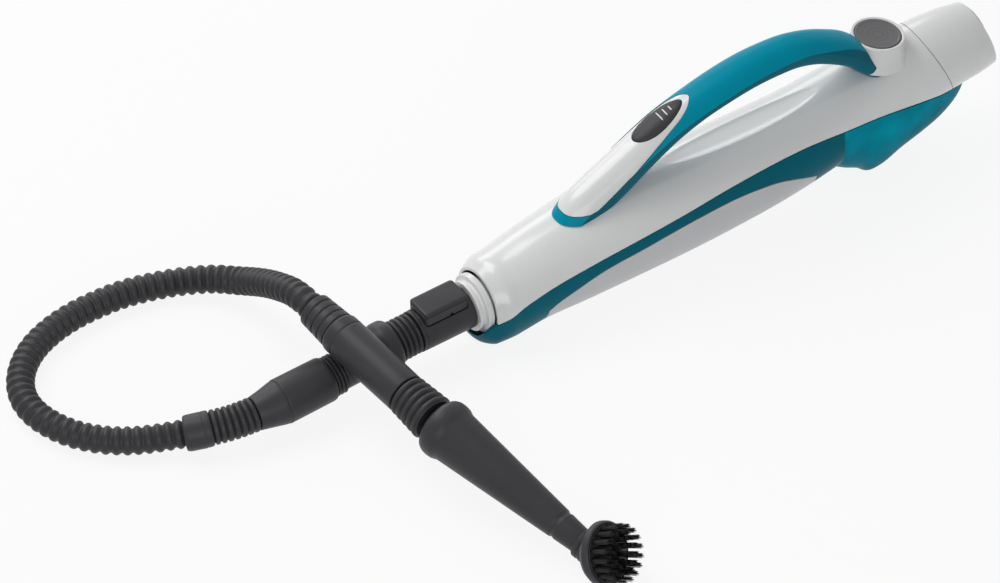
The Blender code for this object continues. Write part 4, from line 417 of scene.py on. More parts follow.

# %% [markdown]
# The real tank is clear plastic with a teal tint. In the photograph almost nothing shows
# through it, so the tint is in the base colour here, with only a trace of transmission. The
# tone is strongly uneven: lighter patches painted in as light gathered in a thick wall, over
# the plastic's own slight unevenness. A wall that is seen edge on has more plastic to look
# through, so the facing of the surface mixes a deeper tint in there, as painted shade.

# %% The tank's tinted plastic
# The strong unevenness paints lighter patches of light in the wall.
TANK = finish_of("tinted_clear", (0.0, 0.440, 0.590), 0.24, depth=0.000006, tone_size=0.024, uneven=0.50,
                 spread=0.03, shine=0.01)
tank_tree = TANK.node_tree
tank_shader = tank_tree.nodes["Principled BSDF"]
# Where the wall is seen edge on, a darker tint is mixed in: painted shade for the light lost in the thicker
# plastic.
edge_on = put(tank_tree, "ShaderNodeLayerWeight", {"Blend": 0.28})
edge_on_painted_shade = put(tank_tree, "ShaderNodeMix", {"Factor": edge_on.outputs["Facing"], "B": (0.0, 0.060, 0.100, 1),
                                             "A": tank_shader.inputs["Base Color"].links[0].from_socket},
                data_type="RGBA")
tank_tree.links.new(edge_on_painted_shade.outputs["Result"], tank_shader.inputs["Base Color"])
tank_shader.inputs["Transmission Weight"].default_value = 0.03
tank_shader.inputs["IOR"].default_value = 1.45
print("tank finish:", len(tank_tree.nodes), "nodes")

# %% [markdown]
# ## The hose
#
# The hose is a ribbed tube on one smooth route: out of the cuff, round a wide loop that lies
# on the ground, and up to the ferrule on the handpiece, which crosses over the first tube.
# The route is a list of points. The photograph shows the whole hose, so the route's
# length is the hose's length, 0.452 m.

# %% Numbers of the line, the hose and the handpiece
LINE_LENGTH = 0.2245
LINE_SHARES = [
    (0.000, 0.994, 0.000), (0.100, 0.973, 0.000), (0.196, 0.951, 0.000), (0.350, 0.870, 0.000),
    (0.512, 0.771, 0.000), (0.620, 0.720, 0.000), (0.708, 0.690, 0.000), (0.790, 0.660, 0.004),
    (0.868, 0.612, 0.018), (0.930, 0.560, 0.040), (0.973, 0.510, 0.058), (1.000, 0.470, 0.074),
]
HOSE_RADIUS = 0.01025
HOSE_RIB_COUNT = 62
RIB_DEPTH = 0.0016
HOSE_ROUTE = [
    (-0.2424, 0.0166, 0.0148), (-0.2593, 0.0262, 0.0118), (-0.2780, 0.0372, 0.0104),
    (-0.2935, 0.0500, 0.0103), (-0.3045, 0.0640, 0.0103), (-0.3115, 0.0790, 0.0103),
    (-0.3150, 0.0950, 0.0103), (-0.3140, 0.1110, 0.0103), (-0.3075, 0.1265, 0.0103),
    (-0.2965, 0.1400, 0.0103), (-0.2810, 0.1515, 0.0103), (-0.2620, 0.1595, 0.0103),
    (-0.2410, 0.1640, 0.0103), (-0.2190, 0.1650, 0.0103), (-0.1970, 0.1635, 0.0103),
    (-0.1760, 0.1585, 0.0103), (-0.1560, 0.1505, 0.0110), (-0.1390, 0.1380, 0.0140),
    (-0.1280, 0.1200, 0.0205), (-0.1240, 0.0960, 0.0350), (-0.1244, 0.0735, 0.0485),
    (-0.1246, 0.0565, 0.0565), (-0.1236, 0.0333, 0.0584),
]
HANDPIECE_LENGTH = 0.1330
HANDPIECE_TURN = math.radians(6.2)
HANDPIECE_DROP = math.radians(5.5)
HANDPIECE_RADIUS = 0.0155
HANDPIECE_BELLOWS = 0.0330
FERRULE_RADIUS = 0.0130
FERRULE_LENGTH = 0.0260
NOZZLE_LENGTH = 0.1400
NOZZLE_TURN = math.radians(12.8)
NOZZLE_DROP = math.radians(10.2)
NOZZLE_COLLAR_RADIUS = 0.0220
NOZZLE_TIP_RADIUS = 0.0095
NOZZLE_SPIGOT_RADIUS = 0.0075
NOZZLE_SPIGOT_LENGTH = 0.0160
print("points in the hose's route:", len(HOSE_ROUTE))

# %% A smooth path through a route
def smooth_path(points, count):
    """Evenly spread points along a smooth curve through the route's points."""
    route = [Vector(point) for point in points]
    lengths = [0.0]
    for first, second in zip(route, route[1:]):
        lengths.append(lengths[-1] + (second - first).length)
    stations = np.array(lengths)
    axes = [np.array([point[axis] for point in route]) for axis in range(3)]
    fine = [Vector([smooth(place, stations, axis) for axis in axes])
            for place in np.linspace(0, lengths[-1], 8 * count)]
    run = [0.0]
    for first, second in zip(fine, fine[1:]):
        run.append(run[-1] + (second - first).length)
    places = np.linspace(0, run[-1], count)
    return [Vector([float(np.interp(place, run, [point[axis] for point in fine])) for axis in range(3)])
            for place in places]


print("points on a test path:", len(smooth_path(HOSE_ROUTE, 20)))

# %% The route, from the cuff to the ferrule
def line_point(share):
    x = -NOSE_OVERHANG - share * LINE_LENGTH
    return Vector((x, read_shares(LINE_SHARES, share, 2) * LINE_LENGTH,
                   read_shares(LINE_SHARES, share, 1) * NOSE_AXIS_HEIGHT))


def turned_direction(turn, drop):
    return Vector((math.sin(turn) * math.cos(drop), -math.cos(turn) * math.cos(drop), -math.sin(drop)))


def handpiece_direction():
    return turned_direction(HANDPIECE_TURN, HANDPIECE_DROP)


def nozzle_direction():
    return turned_direction(NOZZLE_TURN, NOZZLE_DROP)


def handpiece_start():
    return Vector(HOSE_ROUTE[-1]) + handpiece_direction() * GAP


def nozzle_start():
    return handpiece_start() + handpiece_direction() * HANDPIECE_LENGTH


def nozzle_tip():
    return nozzle_start() + nozzle_direction() * NOZZLE_LENGTH


def hose_route():
    """The hose's route, with straight ends that meet the cuff and the ferrule squarely."""
    leave = (line_point(1.0) - line_point(0.992)).normalized()
    arrive = handpiece_direction()
    first, last = line_point(1.0) + leave * GAP, Vector(HOSE_ROUTE[-1]) - arrive * GAP
    return [first, first + leave * HOSE_RADIUS] + HOSE_ROUTE[1:-1] + [last - arrive * HOSE_RADIUS, last]


hose_path = smooth_path(hose_route(), 160)

# %% [markdown]
# Every ribbed piece has the same rule: a tube whose radius dips once for each rib. That is a
# Geometry Nodes tree: the route is resampled, a cosine of the place along it sets the
# radius, and a circle is swept along. The hose, the three bellows and the strain relief
# are all this tree with their own numbers.

# %% A tree for ribbed tubes
def end_tree(tree, shape, material):
    """Close a tree: smooth faces, real instances, the finish and the group's output."""
    smooth_faces = put(tree, "GeometryNodeSetShadeSmooth", {"Geometry": shape})
    real = put(tree, "GeometryNodeRealizeInstances", {"Geometry": smooth_faces})
    coated_shape = put(tree, "GeometryNodeSetMaterial", {"Geometry": real, "Material": material})
    put(tree, "NodeGroupOutput", {"Geometry": coated_shape})


ribbed_tree, ribbed_sockets = new_tree("ribbed_tube", "Geometry", [
    ("Geometry", "Geometry"), ("Ribs", "Int"), ("Steps", "Int"), ("Sides", "Int"), ("Radius", "Float"),
    ("Depth", "Float"), ("Swell", "Float"), ("Narrow", "Float"), ("Finish", "Material"),
], [("Geometry", "Geometry")])
tree = ribbed_tree
given = put(tree, "NodeGroupInput").outputs
points = figure(tree, "MULTIPLY_ADD", given["Ribs"], given["Steps"], 1.0)
route = put(tree, "GeometryNodeResampleCurve", {"Curve": given["Geometry"], "Count": points})
where = put(tree, "GeometryNodeSplineParameter").outputs["Factor"]
turns = figure(tree, "MULTIPLY", where, given["Ribs"])
wave = figure(tree, "COSINE", figure(tree, "MULTIPLY", turns, 2 * math.pi))
groove = figure(tree, "POWER", figure(tree, "MULTIPLY_ADD", wave, 0.5, 0.5), given["Narrow"])
dip = figure(tree, "MULTIPLY", groove, given["Depth"])
grown = figure(tree, "MULTIPLY_ADD", where, given["Swell"], given["Radius"])
size = figure(tree, "SUBTRACT", grown, dip)
ring = put(tree, "GeometryNodeCurvePrimitiveCircle", {"Resolution": given["Sides"], "Radius": 1.0})
sweep = put(tree, "GeometryNodeCurveToMesh", {"Curve": route, "Profile Curve": ring, "Scale": size,
                                              "Fill Caps": True})
end_tree(tree, sweep, given["Finish"])
print("tree:", tree.name, len(tree.nodes), "nodes")

# %% [markdown]
# A tree is run once on a start object and its result is kept as a plain mesh. Then any
# program sees the same shape, and the piece can be measured.

# %% Run a tree and keep its result as a plain mesh
def baked(name, start, tree, values):
    """Object whose mesh is what a Geometry Nodes tree makes of a start object."""
    step = start.modifiers.new("tree", "NODES")
    step.node_group = tree
    for identifier, value in values.items():
        step[identifier] = value
    bpy.context.view_layer.update()
    mesh = bpy.data.meshes.new_from_object(start.evaluated_get(bpy.context.evaluated_depsgraph_get()))
    bpy.data.objects.remove(start, do_unlink=True)
    work = bmesh.new()
    work.from_mesh(mesh)
    finishes = list(mesh.materials)
    made = finish(name, work, 40.0)
    for one in finishes:
        made.data.materials.append(one)
    return made


def ribbed_tube(name, path, ribs, radius, depth, swell=0.0, narrow=2.0, steps=10, sides=48, material=SOFT):
    """Ribbed tube along a path, with its radius dipping once for each rib."""
    data = bpy.data.curves.new(name + "_path", "CURVE")
    data.dimensions = "3D"
    spline = data.splines.new("POLY")
    spline.points.add(len(path) - 1)
    for point, spot in zip(spline.points, path):
        point.co = (*spot, 1.0)
    start = bpy.data.objects.new(name + "_path", data)
    bpy.context.collection.objects.link(start)
    values = {"Ribs": ribs, "Steps": steps, "Sides": sides, "Radius": radius, "Depth": depth, "Swell": swell,
              "Narrow": narrow, "Finish": material}
    return baked(name, start, ribbed_tree, {ribbed_sockets[label]: value for label, value in values.items()})


print("numbers of a ribbed tube:", ", ".join(ribbed_sockets))

# %% [markdown]
# The real hose is a thin skin with ridges, so that it bends without a kink. Here it has no
# inner side, since both ends are closed and sit against the pieces that hold them.

# %% Sweep the hose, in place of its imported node
def dressed_as(piece, node, body, material):
    """Give a piece its finish, and put it in the place of a CAD node on its body."""
    piece.data.materials.clear()
    piece.data.materials.append(material)
    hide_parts(node)
    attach(piece, body)
    print(piece.name, "for", node, len(piece.data.polygons), "faces")
    return piece


HOSE_GROOVE = 0.0018
hose = ribbed_tube("ribbed_hose", hose_path, HOSE_RIB_COUNT, HOSE_RADIUS, HOSE_GROOVE, narrow=1.6, sides=40)
dressed_as(hose, "hose", "housing", SOFT)

# %% [markdown]
# ## The rigid line to the nose
#
# Between the hose and the nose is a line of moulded pieces: cuff, strain relief, sleeve,
# bellows, centre tube, bellows, connector. Each one is turned about the line's own gently
# bent axis, so an outline of (distance, radius) pairs describes it. The edges are rounded
# first, which gives the rings and steps their highlights.

# %% Pieces turned about a bent line
def bent_turned(name, outline, place, size=0.0006, sides=96, step=0.0004, angle=40.0):
    """Closed piece turned about a path. place gives the path's point at a distance along it."""
    rings = []
    for distance, radius in fillet(outline, size):
        if radius > 1e-5:
            along = place(distance + step) - place(distance - step)
            rings.append(circle(seat_at(place(distance), along), 0, radius, sides))
    return loft(name, rings, angle=angle)


def line_place(distance):
    """Point of the line at a distance from its nose end, measured along X."""
    return line_point(distance / LINE_LENGTH)


def in_line(name, outline, size=0.0006):
    """Dressed piece of the line from (share of the line, radius) pairs, in place of its CAD node."""
    pairs = [(share * LINE_LENGTH, radius) for share, radius in outline]
    pairs = [(pairs[0][0], pairs[0][1] * 0.7)] + pairs + [(pairs[-1][0], pairs[-1][1] * 0.7)]
    dressed_as(bent_turned(name + "_skin", pairs, line_place, size), name, "housing", DARK)


CONNECTOR_RADIUS = 0.0155
CONNECTOR_LENGTH = 0.0440
wide = CONNECTOR_RADIUS
joint = GAP / LINE_LENGTH
in_line("centre_tube", [
    (0.272 + joint, wide * 1.02), (0.280, wide * 1.16), (0.290, wide * 1.24), (0.318, wide * 1.245),
    (0.330, wide * 1.17), (0.334, wide * 1.14), (0.345, wide * 1.08), (0.362, wide * 0.97),
    (0.380, wide * 0.915), (0.440, wide * 0.875), (0.478, wide * 0.875),
], size=0.0012)
in_line("line_sleeve", [
    (0.520 + joint, wide * 0.98), (0.5235, wide * 1.04), (0.532, wide * 1.07), (0.690, wide * 1.085),
    (0.6935, wide * 1.075), (0.6950, wide * 1.035), (0.6985, wide * 1.035), (0.7000, wide * 1.055),
    (0.712, wide * 1.02), (0.750, wide * 0.90), (0.788, wide * 0.80),
], size=0.0007)
in_line("hose_cuff", [
    (0.925 + joint, wide * 0.79), (0.931, wide * 0.835), (0.9450, wide * 0.845), (0.9470, wide * 0.825),
    (0.9500, wide * 0.845), (0.990, wide * 0.84), (1.0, wide * 0.80),
], size=0.0008)

# %% [markdown]
# The bellows and the strain relief are soft: their ribs are the same tree that made the
# hose, run along a stretch of the line.

# %% Bellows and strain relief
def line_stretch(start, end, count=24):
    return [line_point(start + (end - start) * index / count) for index in range(count + 1)]


face_end = CONNECTOR_LENGTH / LINE_LENGTH
for name, start, end, ribs, radius, depth, swell, narrow in (
        ("front_bellows", face_end + 2.5 * joint, 0.272, 4, wide * 0.98, 0.0019, 0.0003, 2.2),
        ("rear_bellows", 0.478 + joint, 0.520, 3, wide * 0.97, 0.0020, 0.0, 1.8),
        ("strain_relief", 0.788 + joint, 0.925, 7, wide * 0.815, 0.0017, 0.0, 3.0)):
    made = ribbed_tube(name + "_ribs", line_stretch(start, end), ribs, radius, depth, swell, narrow, 14, 72)
    dressed_as(made, name, "housing", SOFT)

# %% [markdown]
# ## The handpiece and the cone
#
# The handpiece is a straight tube that begins with a ferrule of four rings and ends in a
# bellows. The cone behind it has a rounded collar, a long taper, and a short neck with a
# ring line where the brush's sleeve turns.

# %% Handpiece and nozzle
def on_axis(name, outline, origin, direction, size=0.0007):
    """Dressed piece about a straight axis from (distance, radius) pairs, in place of its CAD node."""
    pairs = [(outline[0][0], outline[0][1] * 0.6)] + outline + [(outline[-1][0], outline[-1][1] * 0.6)]
    made = bent_turned(name + "_skin", pairs, lambda distance: origin + direction * distance, size)
    dressed_as(made, name, "housing", DARK)


hand, toward = handpiece_start(), handpiece_direction()
ring = FERRULE_LENGTH / 4
outline = []
for index in range(4):
    place, radius = index * ring, FERRULE_RADIUS + index * RIB_DEPTH / 4
    outline += [(place + ring * 0.02, radius - RIB_DEPTH * 0.55), (place + ring * 0.14, radius),
                (place + ring * 0.88, radius + RIB_DEPTH * 0.15), (place + ring * 0.98, radius - RIB_DEPTH * 0.4)]
on_axis("hose_ferrule", outline, hand, toward, size=0.0008)
grip = HANDPIECE_RADIUS
grip_start, grip_end = FERRULE_LENGTH + GAP, HANDPIECE_LENGTH - HANDPIECE_BELLOWS
on_axis("handpiece_tube", [
    (grip_start, grip * 0.93), (grip_start + 0.0020, grip), (grip_start + 0.0090, grip * 1.005),
    (grip_start + 0.0096, grip * 0.975), (grip_start + 0.0108, grip * 0.975),
    (grip_start + 0.0114, grip * 1.005), (grip_end - 0.012, grip * 0.985), (grip_end, grip * 0.98),
], hand, toward, size=0.0006)
stretch = [hand + toward * (grip_end + GAP + (HANDPIECE_LENGTH - 2 * RIB_DEPTH - grip_end - GAP) * index / 20)
           for index in range(21)]
made = ribbed_tube("nozzle_bellows_ribs", stretch, 5, grip, 0.0024, grip * 0.14, 2.0, 14, 72)
dressed_as(made, "nozzle_bellows", "housing", SOFT)

collar, tip = NOZZLE_COLLAR_RADIUS, NOZZLE_TIP_RADIUS
on_axis("cone_nozzle", [
    (0, collar * 0.74), (0.0008, collar * 0.80), (collar * 0.12, collar * 0.92), (collar * 0.26, collar * 0.985),
    (collar * 0.42, collar), (collar * 0.60, collar * 0.985), (collar * 0.72, collar * 0.935),
    (collar * 0.80, collar * 0.905), (NOZZLE_LENGTH * 0.845, tip * 1.19), (NOZZLE_LENGTH * 0.852, tip * 1.09),
    (NOZZLE_LENGTH * 0.868, tip * 1.09), (NOZZLE_LENGTH * 0.875, tip * 1.14), (NOZZLE_LENGTH * 0.99, tip * 1.0),
    (NOZZLE_LENGTH, tip * 0.97), (NOZZLE_LENGTH, NOZZLE_SPIGOT_RADIUS),
    (NOZZLE_LENGTH + NOZZLE_SPIGOT_LENGTH, NOZZLE_SPIGOT_RADIUS),
], nozzle_start(), nozzle_direction(), size=0.0010)
print("handpiece and cone made")

# %% [markdown]
# ## The white shell
#
# The upper housing is one moulding: a skin of even wall over the top of the body, with a
# shallow scoop where the fingers go under the handle. It is made as a fine grid of
# stations and angles, outer and inner side, closed along its rim. The rim then gets a
# narrow bevel, because the thin line of light there is what shows where two mouldings meet.
# Every cutter runs 4 mm out of the piece, so that no two faces lie in one plane.

# %% Grids into shells, and cuts into solids
def grid_shell(name, outer, inner, keep=None, bevel=0.0004):
    """Closed shell between two grids of points. keep(row, column) says which cells exist."""
    work = bmesh.new()
    rows, columns = len(outer) - 1, len(outer[0]) - 1
    tops = [[work.verts.new(point) for point in row] for row in outer]
    lows = [[work.verts.new(point) for point in row] for row in inner]

    def kept(row, column):
        inside = 0 <= row < rows and 0 <= column < columns
        return inside and (keep is None or keep(row, column))

    for row in range(rows):
        for column in range(columns):
            if not kept(row, column):
                continue
            corners = ((row, column), (row, column + 1), (row + 1, column + 1), (row + 1, column))
            work.faces.new([tops[r][c] for r, c in corners])
            work.faces.new([lows[r][c] for r, c in reversed(corners)])
            sides = ((row - 1, column), (row, column + 1), (row + 1, column), (row, column - 1))
            for index, (other_row, other_column) in enumerate(sides):
                if not kept(other_row, other_column):
                    (r, c), (s, d) = corners[index], corners[(index + 1) % 4]
                    work.faces.new((tops[s][d], tops[r][c], lows[r][c], lows[s][d]))
    loose = [vert for vert in work.verts if not vert.link_faces]
    bmesh.ops.delete(work, geom=loose, context="VERTS")
    made = finish(name, work, 40.0)
    soften(made, bevel)
    return made


print("helper made:", grid_shell.__name__)

# %% Bevels and cuts
def soften(piece, width, segments=2, angle=50.0):
    """Narrow bevel along the sharp edges."""
    step = piece.modifiers.new("edge", "BEVEL")
    step.width = width
    step.segments = segments
    step.limit_method = "ANGLE"
    step.angle_limit = math.radians(angle)
    return piece


OUT = 0.004


def carved(piece, other, operation="DIFFERENCE", angle=32.0):
    """Cut another solid out of a piece, or join it on, and drop that solid."""
    step = piece.modifiers.new("cut", "BOOLEAN")
    step.operation = operation
    step.solver = "EXACT"
    step.object = other
    bpy.context.view_layer.update()
    mesh = bpy.data.meshes.new_from_object(piece.evaluated_get(bpy.context.evaluated_depsgraph_get()))
    piece.modifiers.clear()
    piece.data = mesh
    mesh.set_sharp_from_angle(angle=math.radians(angle))
    bpy.data.objects.remove(other, do_unlink=True)
    return piece


print("cutters run out by", 1000 * OUT, "mm")

# %% [markdown]
# The scoop is part of the grid: its depth is taken off the radius at every point. A Boolean
# cut would leave a hard edge where the real moulding runs out softly.

# %% The upper housing
BUTTON_SHARE = 0.806
BUTTON_HEIGHT = 0.1115
BUTTON_TILT = math.radians(8.5)
SCOOP_FIRMNESS = 0.7


def scoop_at(share, angle):
    """Depth of the finger scoop under the handle."""
    along = (share - SCOOP_MIDDLE_SHARE) * BODY_LENGTH / (SCOOP_LENGTH / 2)
    across = (angle - math.pi / 2) * body_radius(share) / (SCOOP_WIDTH / 2)
    if abs(along) >= 1:
        return 0.0
    width = math.sqrt(1 - along ** 2)
    if abs(across) >= width:
        return 0.0
    return SCOOP_DEPTH * (width ** 2 - across ** 2)


def stations(count):
    """Stations over the white shell, with the window's two ends among them."""
    marks = [SHELL_START_SHARE, WINDOW_START_SHARE, WINDOW_END_SHARE, TANK_START_SHARE, SEAM_SHARE]
    even = np.linspace(marks[0], marks[-1], count)
    near = (marks[-1] - marks[0]) / count * 0.4
    return sorted([share for share in even if min(abs(share - mark) for mark in marks) > near] + marks)


def firm_scoop(share, angle):
    """Depth of the finger scoop with a firmer rim: a flatter floor and a steeper edge."""
    return SCOOP_DEPTH * (scoop_at(share, angle) / SCOOP_DEPTH) ** SCOOP_FIRMNESS


def walled(name, stations, angles, depth_at=lambda share, angle: 0.0):
    """Shell of even wall over stations of the body, each with its row of angles."""
    sides = [[[body_point(share, angle, body_radius(share) - depth - depth_at(share, angle)) for angle in row]
              for share, row in zip(stations, angles)] for depth in (0.0, WALL)]
    return grid_shell(name, *sides)


body_stations = stations(200)
half = np.linspace(0, 1, 65)[:-1]
rows = []
for share in body_stations:
    start = edge_angle(share, UPPER_EDGE_SHARES) + GAP / body_radius(share)
    rise = [start + (math.pi / 2 - start) * part for part in half]
    rows.append(rise + [math.pi / 2] + [math.pi - angle for angle in reversed(rise)])
white_shell = walled("white_shell", body_stations, rows, firm_scoop)
dressed_as(white_shell, "upper_housing", "housing", WHITE)

# %% [markdown]
# The collar grows out of the same moulding: a ring with a flared foot round the release
# button, closed below the button by a floor with the stem's hole.

# %% The button's collar
BUTTON_RADIUS = 0.0168
BUTTON_STEM_RADIUS = 0.0035
COLLAR_WALL = 0.0025
COLLAR_HEIGHT = 0.0200
COLLAR_FLARE = 0.0020
COLLAR_FLOOR_DEPTH = 0.0115


def button_seat():
    """Seat at the middle of the round button's top, with local Z out of the button."""
    origin = (body_x(BUTTON_SHARE), 0, BUTTON_HEIGHT)
    return seat_at(origin, (math.sin(BUTTON_TILT), 0, math.cos(BUTTON_TILT)), up=(0, 1, 0))


floor_top, guide, well = -COLLAR_FLOOR_DEPTH, BUTTON_STEM_RADIUS + GAP, BUTTON_RADIUS + GAP
wall = well + COLLAR_WALL
flare = [(-COLLAR_HEIGHT * low, wall + COLLAR_FLARE * out) for low, out in (
    (1.0, 1.9), (0.8, 1.15), (0.6, 0.62), (0.44, 0.28), (0.28, 0.05), (0.15, 0.0))]
outline = flare + [(0, wall), (0, well), (floor_top, well), (floor_top, guide), (floor_top - WALL, guide),
                   (floor_top - WALL, well), (-COLLAR_HEIGHT, well)]
button_collar = turned("button_collar", outline, button_seat(), size=0.0009, closed=True)
dressed_as(button_collar, "upper_housing", "housing", WHITE)

# %% [markdown]
# ## The teal strip, the belly painted grey for shade, and the nose
#
# The strip is one moulding too: a chin under the nose, a narrow band along each side, and
# a wider one towards the tank. It takes the darker teal, painted shade. The belly's shell,
# painted grey for shade, fills the window in it.

# %% The teal strip
NOSE_SHOULDER_RADIUS = 0.0220
LEAST_BAND = 0.12
BAND_COLUMNS, BELLY_COLUMNS = 8, 24


def chin_swell(share, angle):
    """How far the trim stands out under the nose, where its pad touches the ground."""
    bottom = min(1.0, max(0.0, (-angle - 0.15) / 0.9))
    start = body_share(-0.45 * NOSE_OVERHANG)
    fade = min(1.0, max(0.0, (WINDOW_START_SHARE - share) / (WINDOW_START_SHARE * 0.45)))
    rise = min(1.0, max(0.0, (share - TRIM_START_SHARE) / (start + TRIM_START_SHARE)))
    ease = bottom * bottom * (3 - 2 * bottom)
    chin = CHIN_RADIUS * (0.70 + 0.30 * math.sqrt(rise))
    return ease * fade * max(0.0, chin - body_radius(share))


def trim_point(share, angle, depth):
    below = angle if angle >= -math.pi / 2 else -math.pi - angle
    radius = body_radius(share) + chin_swell(share, below)
    if share < SHELL_START_SHARE:
        radius = max(radius, NOSE_SHOULDER_RADIUS + GAP * 3)
    floor = NOSE_SHOULDER_RADIUS + GAP
    point = body_point(share, angle, max(floor, radius - depth) if depth else radius)
    point.z = max(point.z, depth)
    return point


def spread(first, last, count):
    return [first + (last - first) * index / count for index in range(count)]


trim_stations = spread(TRIM_START_SHARE, SHELL_START_SHARE, 14)
trim_stations += [share for share in body_stations if share <= TANK_START_SHARE]
rows = []
for share in trim_stations:
    top = edge_angle(share, UPPER_EDGE_SHARES)
    low = min(edge_angle(share, LOWER_EDGE_SHARES), top - LEAST_BAND)
    side = spread(top, low, BAND_COLUMNS) + spread(low, -math.pi / 2, BELLY_COLUMNS)
    rows.append(side + [-math.pi / 2] + [-math.pi - angle for angle in reversed(side)])
outer, inner = ([[trim_point(share, angle, depth) for angle in row] for share, row in zip(trim_stations, rows)]
                for depth in (0, WALL))


def outside_window(row, column):
    middle = (trim_stations[row] + trim_stations[row + 1]) / 2
    beside = column < BAND_COLUMNS or column >= len(rows[0]) - 1 - BAND_COLUMNS
    return beside or not WINDOW_START_SHARE < middle < WINDOW_END_SHARE


teal_strip = grid_shell("teal_strip", outer, inner, outside_window)
# The strip's darker teal is painted shade.
dressed_as(teal_strip, "side_trim", "housing", SHADED_TEAL)

# %% [markdown]
# The belly is its own moulding, of white plastic like the shell above, here painted a mid
# grey as shade. It ends a short gap before the strip, and that gap is the dark joint line
# that the eye sees.

# %% The belly, painted grey for shade
belly_stations = [share for share in body_stations if WINDOW_START_SHARE <= share <= WINDOW_END_SHARE]
belly_stations[0] += GAP / BODY_LENGTH
belly_stations[-1] -= GAP / BODY_LENGTH
rows = []
for share in belly_stations:
    low = min(edge_angle(share, LOWER_EDGE_SHARES), edge_angle(share, UPPER_EDGE_SHARES) - LEAST_BAND)
    side = spread(low - 2 * GAP / body_radius(share), -math.pi / 2, BELLY_COLUMNS)
    rows.append(side + [-math.pi / 2] + [-math.pi - angle for angle in reversed(side)])
# The belly's grey is painted shade.
belly_painted_grey = walled("belly_painted_grey", belly_stations, rows)
dressed_as(belly_painted_grey, "lower_housing", "housing", PALE)

# %% [markdown]
# The nose ring is round on the real object, so it is one turned outline: a lip, a deep step
# to the shoulder, and the sleeve that goes back into the shell. The groove inside is where
# the latch's tooth catches.

# %% The nose ring
PLUG_RADIUS = 0.0117
PLUG_LENGTH = 0.020
LATCH_GROOVE_DEPTH = 0.0022
LATCH_GROOVE_WIDTH = 0.0060
NOSE_LIP_LENGTH = 0.0050
NOSE_LIP_RADIUS = 0.0190
NOSE_SHOULDER_LENGTH = 0.0050
NOSE_SLEEVE_RADIUS = 0.0165
NOSE_RING_LENGTH = 0.030
STEAM_PIPE_RADIUS = 0.0034
NOSE_SLOPE = math.radians(2.0)
GLAND_RADIUS = 0.0072
GLAND_FLANGE_RADIUS = 0.0092
GLAND_FLANGE = 0.0020
GLAND_LENGTH = 0.0090
GLAND_BORE = 0.0038


def nose_seat():
    """Seat at the nose's face, with local Z running forward out of the nose."""
    origin = (-NOSE_OVERHANG, 0, NOSE_AXIS_HEIGHT)
    return seat_at(origin, (-math.cos(NOSE_SLOPE), 0, -math.sin(NOSE_SLOPE)))


def gland_seat():
    """Seat of the mains inlet on the far side of the rear cap."""
    share = (SEAM_SHARE + 1) / 2
    origin = body_point(share, 0.0, body_radius(share))
    return seat_at(origin, (0, 1, 0))


bore, groove = PLUG_RADIUS + GAP, PLUG_RADIUS + GAP + LATCH_GROOVE_DEPTH
groove_start = LATCH_GROOVE_WIDTH * 1.2 - PLUG_LENGTH - GAP
shoulder, pipe, depth = -NOSE_LIP_LENGTH, STEAM_PIPE_RADIUS + GAP, PLUG_LENGTH + GAP
sleeve = shoulder - NOSE_SHOULDER_LENGTH
lip, step = NOSE_LIP_RADIUS, NOSE_SHOULDER_RADIUS
outline = [
    (0, bore), (0, lip), (shoulder * 0.55, lip), (shoulder * 0.60, lip * 0.94), (shoulder * 0.92, lip * 0.95),
    (shoulder, lip), (shoulder, step), (sleeve, step), (sleeve, NOSE_SLEEVE_RADIUS),
    (-NOSE_RING_LENGTH, NOSE_SLEEVE_RADIUS), (-NOSE_RING_LENGTH, pipe), (-depth, pipe), (-depth, bore),
    (groove_start - LATCH_GROOVE_WIDTH, bore), (groove_start - LATCH_GROOVE_WIDTH, groove),
    (groove_start, groove), (groove_start, bore),
]
stepped_nose = turned("stepped_nose", outline, nose_seat(), size=0.0008, closed=True)
dressed_as(stepped_nose, "nose_ring", "housing", WHITE)

# %% [markdown]
# The rear cap is a tube of the body's own section. The tank's room and the inlet's hole are
# cut out of it with Booleans, which leave the crisp edge of a real opening. A bevel then
# takes the knife edge off.

# %% Rear cap and mains inlet
cap_stations = np.linspace(SEAM_SHARE + GAP / BODY_LENGTH, 1.0, 40)
turns = np.linspace(0, 2 * math.pi, 145)[:-1]
skin = [[body_point(share, turn, body_radius(share)) for turn in turns] for share in cap_stations]
lining = [[body_point(share, turn, body_radius(share) - WALL) for turn in turns] for share in cap_stations]
rear = loft("white_rear", skin + lining[::-1], closed=True, angle=40.0)
edges = []
for share in np.linspace(SEAM_SHARE - 0.04, TANK_END_SHARE + GAP / BODY_LENGTH, 24):
    edge = body_point(share, edge_angle(share, UPPER_EDGE_SHARES), body_radius(share))
    reach = 2 * BODY_RADIUS
    edges.append([Vector((edge.x, across, height)) for across, height in (
        (-reach, -reach), (reach, -reach), (reach, edge.z + GAP), (-reach, edge.z + GAP))])
carved(rear, loft("tank_room", edges))
hole = GLAND_RADIUS + GAP
carved(rear, turned("gland_hole", [(-GLAND_LENGTH * 2, hole), (GLAND_LENGTH * 2, hole)], gland_seat(), size=0))
soften(rear, 0.0005)
dressed_as(rear, "rear_cap", "housing", WHITE)

rim = GLAND_FLANGE_RADIUS
outline = [
    (GLAND_FLANGE + GAP, GLAND_BORE), (GLAND_FLANGE + GAP, rim * 0.8), (GLAND_FLANGE * 0.6, rim), (GAP * 2, rim),
    (GAP * 2, GLAND_RADIUS), (-GLAND_LENGTH, GLAND_RADIUS), (-GLAND_LENGTH, GLAND_BORE),
]
gland = turned("inlet_gland", outline, gland_seat(), size=0.0005, sides=48, closed=True)
dressed_as(gland, "cord_gland", "housing", SOFT)

